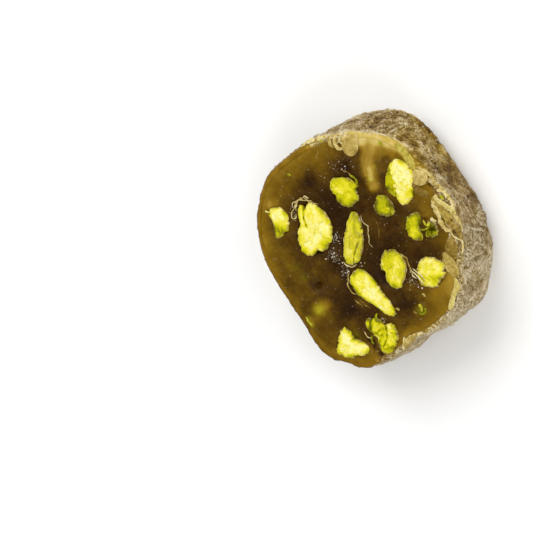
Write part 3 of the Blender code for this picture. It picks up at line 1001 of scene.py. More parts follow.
# %% The skin's surface
SKIN_COLUMNS = 760
SKIN_SECTION_ROWS = (5, 12, 72, 7)
INNER_SECTION_ROWS = (1, 3, 4, 3)
SKIN_THICKNESS = 0.62
TUCK = 0.45                 # how deep the lip's edge is tucked into the gel
LYING_RELIEF = 0.25         # the share of its unevenness that the lying face keeps
LIP_ROWS = 14


def lip_width(angle):
    """How far the lip reaches in over the face: bells, torn by noise round the rim."""
    x, y = polar(MEAN_RADIUS, angle)
    torn = 0.55 * noise(x, y, 0.0, 2.4, 81) + 0.30 * noise(x, y, 0.0, 0.9, 82)
    width = LEAST_LIP + changes_at(angle, LIP_WIDTHS)
    return np.maximum(width * (1.0 + 0.8 * torn), 0.08)


def skin_surface():
    """Outside of the block, the lip over its face, and back down inside."""
    angle = np.arange(SKIN_COLUMNS) * 360.0 / SKIN_COLUMNS
    section = block_section(*SKIN_SECTION_ROWS)
    x, y, z = block_points(angle, section)
    rise, ridge = skin_relief(angle, x, y, z)
    rise = rise * np.clip(1.0 - 0.75 * ease((z - THICKNESS + 1.6) / 1.6), 0.0, 1.0)
    rise = rise * np.where(section.up < -0.9, LYING_RELIEF, 1.0)
    turn_x, turn_y = polar(1.0, angle)
    outer = np.stack([x + rise * section.out * turn_x, y + rise * section.out * turn_y,
                      np.maximum(z + rise * section.up, 0.0)], axis=-1)

    share = np.linspace(0.0, 1.0, LIP_ROWS + 1)[1:, None]
    inwards = lip_width(angle) * share
    radius = rim_radius(angle) - RIM_ROUND - inwards
    lip_x, lip_y = radius * turn_x, radius * turn_y
    crumple = 0.10 + 0.16 * noise(lip_x, lip_y, 0.0, 1.1, 83) + 0.12 * share * (1.0 - share)
    crumple = crumple * (1.0 - 0.85 * (gel_edge(angle, THICKNESS) + ledge_edge(angle, THICKNESS)))
    lip_z = (face_height(lip_x, lip_y) + changes_at(angle, RIM_LIPS) * bell(inwards, LIP_FADE)
             + crumple * (1.0 - share ** 6) + face_waves(lip_x, lip_y)
             - EDGE_DIP * share * bell(inwards, 0.5))
    lip = np.stack([lip_x, lip_y, lip_z], axis=-1)

    tuck = lip[-1:] - np.array([0.0, 0.0, TUCK])
    inside = block_section(*INNER_SECTION_ROWS)
    inner = np.stack(block_points(angle, inside, SKIN_THICKNESS), axis=-1)[::-1]

    points = np.concatenate([outer, lip, tuck, inner])
    hidden = np.zeros((1 + inner.shape[0], SKIN_COLUMNS))
    lip_ridge = 0.55 * share ** 2 + 0.35 * veins(lip_x, lip_y, lip_z, 0.9, 84)
    tones = [skin_tone(angle, x, y, z, ridge), skin_tone(angle, lip_x, lip_y, lip_z, lip_ridge)]
    ambers = [skin_amber(angle, x, y, z, ridge), skin_amber(angle, lip_x, lip_y, lip_z, lip_ridge)]
    starches = [skin_starch(angle, x, y, z), 0.6 * skin_starch(angle, lip_x, lip_y, lip_z)]
    paint = {"tone": np.concatenate(tones + [hidden]), "amber": np.concatenate(ambers + [hidden]),
             "starch": np.concatenate(starches + [hidden])}
    return Surface(points, [0.0, 0.0, 0.0], [0.0, 0.0, SKIN_THICKNESS], paint)


skin_grid = skin_surface()
print("skin grid:", skin_grid.points.shape[:2], "rows and columns")


# %% The skin's finish
def wrinkle_lines(recipe, grain, width):
    """1 on the winding lines where a grain crosses one half, falling to 0 at a width."""
    beside = recipe.sum(recipe.sum(grain, 0.5, "SUBTRACT"), 0.0, "ABSOLUTE")
    return recipe.fade(beside, 0.02, width, 1.0, 0.0)


def skin_finish():
    """Dry film: a ramp from bare brown to white starch, with threads, cracks, and flecks that are partly
    starch and partly painted glints.
    """
    recipe = Recipe("starch_skin", roughness=0.5, specular=0.05)
    amber = recipe.painted("amber")
    starch = recipe.painted("starch")
    wide = wrinkle_lines(recipe, recipe.grain(0.85, 1.5, twist=1.2), 0.13)
    close = wrinkle_lines(recipe, recipe.grain(0.46, 1.0, twist=0.8), 0.10)
    powder = recipe.grain(0.2, 2.0)
    # Pale flecks: partly starch, partly painted highlights standing in for glints on the crinkled film.
    flecks_and_glints = recipe.fade(recipe.grain(0.34, 1.0), 0.63, 0.69)
    lines = recipe.sum(recipe.sum(wide, 0.42, "MULTIPLY"), recipe.sum(close, 0.20, "MULTIPLY"))
    marks = recipe.sum(recipe.sum(lines, recipe.sum(flecks_and_glints, 0.40, "MULTIPLY")), starch, "MULTIPLY")
    tone = recipe.stirred(recipe.sum(recipe.painted("tone"), marks), powder, 0.16)
    dry = recipe.ramp(tone, (
        (0.14, (60, 37, 7)), (0.30, (92, 65, 22)), (0.44, (124, 97, 48)), (0.58, (154, 128, 78)),
        (0.74, (188, 164, 116)), (0.92, (224, 205, 164)), (1.0, (238, 222, 186)),
    ))
    bare = recipe.ramp(tone, (
        (0.20, (66, 41, 4)), (0.36, (104, 74, 9)), (0.50, (138, 104, 18)), (0.64, (172, 139, 44)),
        (0.80, (210, 182, 88)), (1.0, (246, 232, 176)),
    ))
    colour = recipe.mix(amber, dry, bare)
    rough = recipe.fade(powder, 0.3, 0.7, 0.32, 0.62)
    normal = recipe.bump(marks, 0.38)
    normal = recipe.bump(powder, 0.05, normal)
    return recipe.finish(colour, rough, normal)


write_piece("starch_skin", [skin_grid], skin_finish(), ["gel_block"])

# %% [markdown]
# ## The pistachios
#
# A cut kernel is not smooth.  The knife leaves flat facets, the flesh has
# fibres along its length, cracks open in it, and its rim is ragged and
# greener, with a brown papery husk.  All of that is relief and paint on the
# same grid: rings from the buried tip up to the widest place, and on over
# the cut top to its middle.

# %% What each kernel shows
# green: how green its flesh is.  spots: x, y, reach, greener, rise.
# cuts: x, y, x, y, half width, depth, greener.  sides: a line and how much
# greener the flesh is on its left.  husk: how much husk clings to its rim.
# rough: how broken its flesh is.  bites: x, y, reach, depth where the outline
# is missing.  veil: how much thin husk covers the flesh.
Look = namedtuple("Look", "green spots cuts sides husk rough bites veil", defaults=(0.0, 1.0, (), 0.0))
LOOKS = {
    "kernel_split": Look(0.10, (
        (12.1, 5.5, 0.5, 0.4, 0), (3, 9, 0.7, 0.3, 0), (10.2, 9.4, 0.6, 0.3, 0),
        (7.6, 10.9, 0.8, 0.45, 0), (5.4, 10.9, 0.9, 0.42, 0), (3.8, 6.6, 1, 0.42, 0),
        (6.9, 3.7, 0.7, 0.30, 0), (9, 3.6, 0.6, 0.25, 0), (8.6, 7.5, 0.45, 0.40, -0.05),
    ), (
        (12.1, 5.6, 9.8, 7.3, 0.26, 0.16, 0.50), (10.4, 7, 8, 7.8, 0.22, 0.14, 0.50),
        (7.2, 6.4, 5.8, 7.9, 0.10, 0.08, 0.25), (6.4, 8.6, 4.6, 8.8, 0.08, 0.06, 0.2),
        (9.8, 4.8, 7.9, 6.3, 0.10, 0.05, 0.10),
    ), (), 0.15, 1, ((12.2, 5.6, 0.45, 1.1), (2.5, 9.2, 0.8, 1), (10.6, 9.9, 1.1, 0.75))),
    "kernel_long": Look(0.34, (
        (-2.2, 4.8, 0.9, 0.32, 0), (2.2, 2.6, 1, -0.10, 0), (0.2, 3.4, 0.9, -0.14, 0.05),
        (4.9, -1.9, 0.8, 0.20, 0),
    ), (
        (5.4, -1.7, 1, 1.1, 0.50, 0.03, 0.22), (0.5, 0.5, -0.5, 2.3, 0.16, 0.12, 0.42),
        (-0.3, 2, -1.7, 3.9, 0.16, 0.16, 0.45), (-1.5, 3.6, -2.8, 4.4, 0.14, 0.14, 0.45),
        (3.6, 0.4, -0.9, 4.2, 0.12, 0.05, 0.15),
    ), (), 0.1, 1, (), 0.22),
    "kernel_club": Look(0.13, (
        (-3.6, 5.2, 0.7, 0.62, 0), (-4.4, 5.6, 0.5, 0.35, -0.05), (-5.2, 7, 0.9, 0.45, 0),
        (-3.9, 3.9, 0.7, 0.40, 0), (-14.6, 3.4, 0.6, 0.35, 0),
    ), ((-5.2, 7.2, -9.6, 6.5, 0.55, 0.05, 0.45), (-8.8, 6.7, -13.8, 4.9, 0.42, 0.05, 0.45)), (), 0.1),
    "kernel_pale": Look(0.07, (
        (1.7, -12.5, 0.9, 0.40, 0), (1.4, -14, 0.6, 0.35, 0), (6.6, -15.2, 0.7, 0.25, 0),
        (5.6, -10.4, 0.9, 0.15, -0.1), (3.4, -14.9, 0.5, 0.25, 0),
    ), (
        (7.2, -13.2, 5.2, -14, 0.1, 0.1, 0.2), (5.6, -12.3, 4, -13.6, 0.12, 0.10, 0.2),
        (4.6, -11.4, 2.2, -12, 0.10, 0.10, 0.25), (6.2, -11.8, 5.6, -13.2, 0.08, 0.08, 0.15),
    ), ((2.6, -10.5, 8.2, -12.7, 0.42),), 0, 1.4,
        ((6.3, -9.8, 1.2, -0.35), (3.4, -10, 1.5, -0.45), (1.5, -10.6, 0.8, -0.50),
         (1.2, -14.6, 0.8, 0.4))),
    "kernel_lime": Look(0.43, (
        (10.2, -1.7, 0.9, -0.22, 0.1), (12, -0.9, 0.7, -0.15, 0), (8.2, -0.4, 1.1, 0.34, -0.1),
        (10.5, -4.9, 0.5, 0.30, -0.1), (9, -3.2, 1.1, -0.08, 0.1), (6.9, -2.4, 0.8, 0.28, 0),
        (12.2, -3.6, 0.6, 0.2, 0),
    ), ((11.8, -2.2, 9.8, -3, 0.1, 0.08, -0.1), (10.6, -0.6, 8.6, -2.2, 0.1, 0.1, 0.15)), (),
        0.1, 1.2, ((7.6, -5.2, 0.7, 0.4), (10.2, 0.5, 0.8, 0.35))),
    "kernel_diamond": Look(0.40, (
        (-4.2, -3.4, 1.1, 0.30, 0), (-9.4, -1.4, 1.1, -0.16, 0), (-5.6, -0.3, 0.4, -0.2, 0.1),
        (-7.1, 0.5, 0.38, 0.9, -1), (-6.8, -1.6, 1.2, -0.08, 0.1), (-10.6, 0, 0.7, 0.25, 0),
    ), (
        (-6, -2.4, -9.6, -0.9, 0.10, -0.06, -0.22), (-6.6, -3, -8.8, -2.6, 0.10, -0.06, -0.2),
        (-6.4, 0.5, -9.4, 1, 0.14, 0.10, 0.30), (-5.8, -1.2, -8.4, 0.2, 0.09, 0.05, -0.15),
    ), (), 0.25, 1, ((-7, 0.9, 0.5, 0.5),), 0.05),
    "kernel_round": Look(0.12, (
        (-13.4, -6.9, 1.1, 0.42, 0), (-12.4, -5.5, 0.7, 0.35, 0), (-14, -8, 0.7, 0.28, 0),
        (-10, -6.2, 0.5, 0.2, 0),
    ), (
        (-10.8, -5.2, -13, -5.3, 0.10, 0.12, 0.40), (-10.9, -5.8, -13.7, -6.2, 0.09, 0.10, 0.35),
        (-11.4, -4.8, -12.6, -4.8, 0.08, 0.10, 0.40), (-11.8, -6.6, -14.2, -7.2, 0.09, 0.08, 0.25),
    ), (), 0.55),
    "kernel_heart": Look(0.02, (
        (-13.5, 12.4, 0.60, 0.4, 0), (-12.6, 16.8, 0.9, 0.65, 0), (-16.2, 15.6, 0.9, 0.60, 0),
        (-16.9, 11.8, 0.9, 0.50, 0), (-12.5, 12.8, 0.7, 0.55, 0), (-14.4, 17, 0.8, 0.60, 0),
        (-10.9, 14.7, 0.6, 0.3, 0), (-14.6, 11.9, 0.6, 0.40, 0),
    ), ((-13.5, 12.2, -13.7, 13.7, 0.25, 0.15, 0.35),), (),
        0.2, 1, ((-13.5, 12, 0.45, 0.4),)),
    "kernel_side": Look(0.04, (
        (11, 12.9, 1.6, 0.85, -0.05), (12.8, 9.7, 0.4, 0.5, 0), (14.9, 12.5, 0.6, 0.40, 0),
        (12.2, 13.9, 0.8, 0.40, 0),
    ), (), (), 0.1),
    "kernel_olive": Look(0.66, (
        (3, -7, 0.9, -0.10, 0.1), (1.9, -7.7, 0.25, -0.5, 0.1), (2, -6.1, 0.5, 0.1, 0),
    ), (), ()),
    "kernel_sunk": Look(0.52, (
        (-4.6, -8.9, 1, -0.12, 0.1), (-5.8, -9.4, 0.9, 0.30, -0.4), (-1.6, -11.4, 0.9, 0.24, -0.4),
        (-3.4, -11.4, 0.7, 0.30, -0.3),
    ), (), ()),
    "kernel_crumb": Look(0.76, (
        (-4.9, -12.3, 0.4, -0.3, 0.5), (-6.2, -12.6, 0.5, 0.15, -0.5), (-5.4, -11, 0.4, 0.2, -0.6),
        (-6.4, -11.2, 0.4, -0.1, 0.5), (-4.3, -11.4, 0.4, 0.1, -0.5), (-5.6, -13, 0.35, -0.2, 0.4),
    ), ((-5, -11, -6.6, -12.8, 0.15, 0.5, 0.2), (-4.8, -12.8, -6.8, -11.6, 0.15, 0.4, 0.2)), (),
        0.3, 2.6),
    "kernel_curled": Look(0.40, (
        (-13.8, 9.9, 0.6, -0.30, 0.1), (-15.7, 5.1, 1.1, -0.26, 0.1), (-18.6, 6.2, 1.1, -0.30, 0.1),
        (-12.4, 7.8, 0.7, 0.26, 0), (-15.2, 7, 0.65, 0.42, -0.6), (-17, 8.6, 0.6, 0.24, -0.1),
        (-14.2, 6.6, 0.45, 0.30, -0.6), (-13.2, 9.2, 0.5, 0.20, 0), (-16.4, 7.6, 0.5, 0.30, -0.15),
        (-13.4, 8, 0.4, 0.30, -0.15), (-17.6, 9.2, 0.4, 0.35, -0.1), (-16, 9, 0.35, -0.25, 0.1),
    ), (
        (-12.3, 7.3, -13.3, 8.6, 0.26, 0.10, 0.45), (-13, 8.4, -14.8, 8.9, 0.24, 0.10, 0.45),
        (-14.4, 8.8, -16.2, 8.2, 0.26, 0.10, 0.45), (-14.6, 6, -16.4, 6.5, 0.22, 0.08, 0.45),
        (-16.1, 6.4, -17.5, 7.5, 0.24, 0.08, 0.42), (-17.3, 7.3, -18.2, 9, 0.22, 0.08, 0.38),
        (-15.8, 7.4, -17.2, 9.2, 0.16, 0.06, 0.30), (-15.4, 8.4, -14.9, 7.2, 0.18, 0.06, 0.35),
    ), (), 0.2, 1.8),
}

print(sum(len(look.cuts) for look in LOOKS.values()), "cuts and",
      sum(len(look.spots) for look in LOOKS.values()), "spots on", len(LOOKS), "kernels")

# %% A kernel's surface
KERNEL_COLUMNS = 208
KERNEL_BURIED_ROWS = 8
KERNEL_TOP_ROWS = 84
SHOWN_PROUD = 0.5           # the share of its proud height that the cut top keeps
RAGGED_RIM = 0.20           # how far the cut outline wanders, in mm
CHIPPED_RIM = 0.26          # how far flat chips bite into it


def kernel_surface(number, kernel, look):
    """Rings from the buried tip to the widest place, then over the cut top.

    Below its widest place a ring's scale is sqrt(1 - level^2).  Above it the
    scale falls from 1 to 0 evenly, level = (1 - scale)^(1/3), and the top
    rises by (shown proud + sink) * (1 - (1 - level)^3).
    """
    angle = np.arange(KERNEL_COLUMNS) * 360.0 / KERNEL_COLUMNS
    level = np.linspace(-0.97, -0.08, KERNEL_BURIED_ROWS)[:, None]
    scale = np.sqrt(1.0 - level ** 2)
    height = level * (kernel.depth - KERNEL_SINK) - KERNEL_SINK
    top_scale = np.linspace(1.0, 0.0, KERNEL_TOP_ROWS + 1)[:-1, None]
    top_level = (1.0 - top_scale) ** (1.0 / 3.0)
    top = (SHOWN_PROUD * kernel.proud + KERNEL_SINK) * (1.0 - (1.0 - top_level) ** 3) - KERNEL_SINK
    scale = np.concatenate([scale, top_scale])
    height = np.concatenate([height, top])

    rim_u, rim_v = kernel_outline(kernel, angle)
    reach = np.hypot(rim_u, rim_v)
    seed = 100 + 12 * number
    torn = noise(rim_u, rim_v, 0.0, 1.8, seed) + 0.6 * noise(rim_u, rim_v, 0.0, 0.5, seed + 1)
    chips = facets((rim_u, rim_v), 1.3, seed + 2) + 0.5 * facets((rim_u, rim_v), 0.6, seed + 3)
    bite = RAGGED_RIM * torn + CHIPPED_RIM * (chips - 0.25)
    rim_x, rim_y = kernel_to_face(kernel, rim_u, rim_v)
    for bite_x, bite_y, bite_reach, depth in look.bites:
        bite = bite - depth * bell(np.hypot(rim_x - bite_x, rim_y - bite_y), bite_reach) ** 0.7
    u, v = kernel_outline(kernel, angle, scale)
    stretch = 1.0 + bite / reach * scale
    u, v = u * stretch, v * stretch
    x, y = kernel_to_face(kernel, u, v)

    is_top = ease(height / 0.25 + 1.6)
    wander_u = u + 0.25 * noise(u, v, 0.0, 0.9, seed + 4)
    wander_v = v + 0.25 * noise(u, v, 0.0, 0.9, seed + 5)
    broken = facets((wander_u, wander_v), 1.9, seed + 6)
    crumbly = facets((wander_u * 0.8, wander_v * 1.2), 0.75, seed + 7)
    fibres = veins(u * 0.25, v + 0.3 * noise(u, v, 0.0, 2.0, seed + 8), 0.0, 0.42, seed + 9, 2.0)
    grit = noise(u, v, 0.0, 0.3, seed + 10)
    rise = look.rough * (0.15 * broken + 0.08 * crumbly) + 0.05 * fibres + 0.05 * grit
    green = look.green + 0.09 * cloud(u, v, 0.0, 1.8, seed + 11) - 0.06 * (fibres - 0.3)
    green = green + look.rough * (0.12 * broken - 0.11 * crumbly)
    for spot_x, spot_y, spot_reach, greener, lift in look.spots:
        share = bell(np.hypot(x - spot_x, y - spot_y), spot_reach)
        rise = rise + lift * share
        green = green + greener * share * (0.8 + 0.5 * crumbly)
    wander = 0.22 * noise(x, y, 0.0, 0.9, seed + 4)
    for x0, y0, x1, y1, width, depth, greener in look.cuts:
        share = stroke(x + wander, y - wander, x0, y0, x1, y1, width)
        rise = rise - depth * share
        green = green + greener * share
    for x0, y0, x1, y1, greener in look.sides:
        length = math.hypot(x1 - x0, y1 - y0)
        across = ((x1 - x0) * (y - y0) - (y1 - y0) * (x - x0)) / length
        share = ease(0.5 + (across + 2.4 * wander + 0.45 * crumbly) / 0.25)
        rise = rise - 0.25 * share
        green = green + greener * share
    inwards = reach * (1.0 - scale)
    patchy = ease(0.5 + 0.9 * noise(x, y, 0.0, 1.3, seed + 5))
    green = green + 0.48 * patchy * bell(inwards, 0.8)
    specks = 0.40 + 0.8 * noise(x, y, 0.0, 2.2, seed + 6) + 1.0 * noise(x, y, 0.0, 0.45, seed + 3)
    husk = bell(inwards, 0.36) * ease(specks + look.husk) + look.veil * ease(0.45 + specks)
    level = face_height(np.full(u.shape, kernel.x), kernel.y)
    z = level + height + rise * is_top * ease(inwards / 0.4 + 0.35)
    points = np.stack([x, y, z], axis=-1)
    first = [kernel.x, kernel.y, float(face_height(kernel.x, kernel.y)) - kernel.depth]
    last = [kernel.x, kernel.y, float(z[-1].mean())]
    return Surface(points, first, last, {"green": np.clip(green, 0.0, 1.2), "husk": husk})

# %% The kernels' finish
def kernel_finish():
    """Waxy nut flesh: a ramp from cream through lime to deep green, mottled."""
    recipe = Recipe("pistachio", roughness=0.5, specular=0.08)
    mottle = recipe.grain(0.55, 4.0)
    fine = recipe.grain(0.16, 2.0)
    green = recipe.stirred(recipe.painted("green"), mottle, 0.34)
    green = recipe.stirred(green, fine, 0.22)
    flesh = recipe.ramp(green, (
        (0.00, (255, 249, 168)), (0.14, (252, 240, 112)), (0.28, (240, 228, 52)),
        (0.44, (220, 212, 10)), (0.60, (190, 186, 2)), (0.80, (140, 137, 1)), (1.0, (98, 92, 1)),
    ))
    husk = recipe.ramp(mottle, ((0.35, (112, 82, 26)), (0.5, (170, 142, 78)), (0.66, (226, 208, 150))))
    colour = recipe.mix(recipe.painted("husk"), flesh, husk)
    rough = recipe.fade(fine, 0.3, 0.7, 0.40, 0.62)
    normal = recipe.bump(fine, 0.09)
    normal = recipe.bump(mottle, 0.14, normal)
    return recipe.finish(colour, rough, normal)


pistachio = kernel_finish()
for number, (name, kernel) in enumerate(KERNELS.items()):
    surface = kernel_surface(number, kernel, LOOKS[name])
    write_piece(name.replace("kernel", "nut"), [surface], pistachio, [name])

# %% [markdown]
# ## Flaps, husk and slivers
#
# The knife left torn things on the cut face: flaps and frills of skin along
# the rim, curls of the kernels' papery husk, and chips of nut.  They are all
# strips: a path through a few points, smoothed, and a thin section carried
# along it.  The section is a flat ellipse whose middle can arch up, and it
# narrows to a point at both ends, so the strip is closed.

# %% A strip along a path
Strip = namedtuple("Strip", "path width thick rise arch tone green wave crumple", defaults=(0.0, 0.0, 1.0))
STRIP_COLUMNS = 26


def smooth_path(points, rows):
    """Catmull-Rom curve: a cubic between points that leaves each along its neighbours."""
    points = np.array(points, dtype=float)
    knots = np.vstack([2 * points[0] - points[1], points, 2 * points[-1] - points[-2]])
    place = np.linspace(0.0, len(points) - 1.000001, rows)
    number = place.astype(int)
    t = (place - number)[:, None]
    a, b, c, d = (knots[number + step] for step in range(4))
    return 0.5 * (2 * b + (c - a) * t + (2 * a - 5 * b + 4 * c - d) * t ** 2
                  + (3 * b - a - 3 * c + d) * t ** 3)


# %% A strip laid on the face and over the rim
def laid_on_rim(x, y, lift):
    """A place on the cut face, bent down over the rim: x, y and z.

    Past the edge of the face the way still to go is an arc of the rim's
    quarter circle, roll = past / RIM_ROUND, and then the wall.  The lift is
    measured along the outward direction.
    """
    angle = np.degrees(np.arctan2(y, x))
    reach = np.hypot(x, y)
    edge = rim_radius(angle) - RIM_ROUND
    past = np.maximum(reach - edge, 0.0)
    roll = np.minimum(past / RIM_ROUND, 0.5 * np.pi)
    stretch = (np.minimum(reach, edge) + (RIM_ROUND + lift) * np.sin(roll)) / reach
    lip = changes_at(angle, RIM_LIPS) * bell(np.maximum(edge - reach, 0.0), LIP_FADE)
    z = face_height(x, y) - RIM_ROUND * (1.0 - np.cos(roll)) + (lift + lip) * np.cos(roll)
    return x * stretch, y * stretch, z - np.maximum(past - 0.5 * np.pi * RIM_ROUND, 0.0)


# %% A strip's surface
def strip_surface(number, strip):
    """A ragged sheet: point = path + side * half width * cos, lifted by form + thick/2 * sin.

    Each edge has its own torn half width, and the form is an arch, a crumple
    of sharp creases and slow waves.  Both ends narrow to a point.
    """
    path = smooth_path(strip.path, max(18, int(13 * len(strip.path))))
    ahead = np.gradient(path, axis=0)
    ahead = ahead / np.linalg.norm(ahead, axis=1, keepdims=True)
    share = np.linspace(0.0, 1.0, len(path))[:, None]
    taper = (1.0 - np.abs(2.0 * share - 1.0) ** (2.0 if strip.width > 1.5 else 3.5)) ** 0.5 + 0.02
    turn = np.arange(STRIP_COLUMNS) * 2.0 * np.pi / STRIP_COLUMNS
    side = signed_power(np.cos(turn), 0.75)
    seed = 300 + 9 * number
    ragged = (0.15 + 0.30 * strip.crumple) / max(strip.width, 0.9)
    torn = [1.0 + ragged * noise(path[:, :1], path[:, 1:], 0.0, 1.0, seed + edge)
            + ragged * facets((path[:, :1], path[:, 1:]), 0.55, seed + edge) for edge in range(2)]
    half = 0.5 * strip.width * taper * np.where(side > 0.0, *torn)
    sway = strip.wave * noise(path[:, :1], path[:, 1:], 0.0, 0.9, seed + 2)
    x = path[:, :1] - ahead[:, 1:] * (half * side + sway)
    y = path[:, 1:] + ahead[:, :1] * (half * side + sway)
    crease = veins(x + 0.3 * noise(x, y, 0.0, 0.8, seed + 3), y, 0.0, 0.9, seed + 4, 3.0)
    crease = crease + 0.5 * noise(x, y, 0.0, 0.35, seed + 5)
    rough = min(strip.width, 1.2) * strip.crumple
    form = strip.arch * taper * (1.0 - side ** 2) + 0.24 * rough * (crease - 0.3) * taper
    form = form + 0.22 * rough * noise(x, y, 0.0, 1.1, seed + 6)
    lift = strip.rise * taper + form + 0.5 * strip.thick * taper * np.sin(turn)
    x, y, z = laid_on_rim(x, y, lift + face_waves(x, y))
    tone = strip.tone + (0.04 + 0.12 * strip.crumple) * np.abs(side) ** 4 - 0.04
    tone = tone + 0.22 * strip.crumple * (crease - 0.3)
    tone = tone + 0.13 * noise(x, y, z, 0.8, seed + 7)
    veil = ease(strip.width - 1.1) * max(1.0 - 1.6 * strip.crumple, 0.0)
    to_rim = rim_radius(np.degrees(np.arctan2(y, x))) - RIM_ROUND - np.hypot(x, y)
    thin = ease((np.abs(side) - 0.45 + 0.35 * noise(x, y, z, 1.2, seed + 8)) / 0.55)
    thin = veil * thin * np.clip(to_rim, 0.0, 1.0)
    tone = tone + (gel_tone(x, y, to_rim) + 0.05 - tone) * thin
    points = np.stack([x, y, z], axis=-1)
    return Surface(points, points[0].mean(axis=0), points[-1].mean(axis=0),
                   {"tone": tone, "green": strip.green + 0.0 * tone})


def strips_piece(name, strips, material):
    """All strips of a kind as one piece."""
    surfaces = [strip_surface(number, strip) for number, strip in enumerate(strips)]
    write_piece(name, surfaces, material)

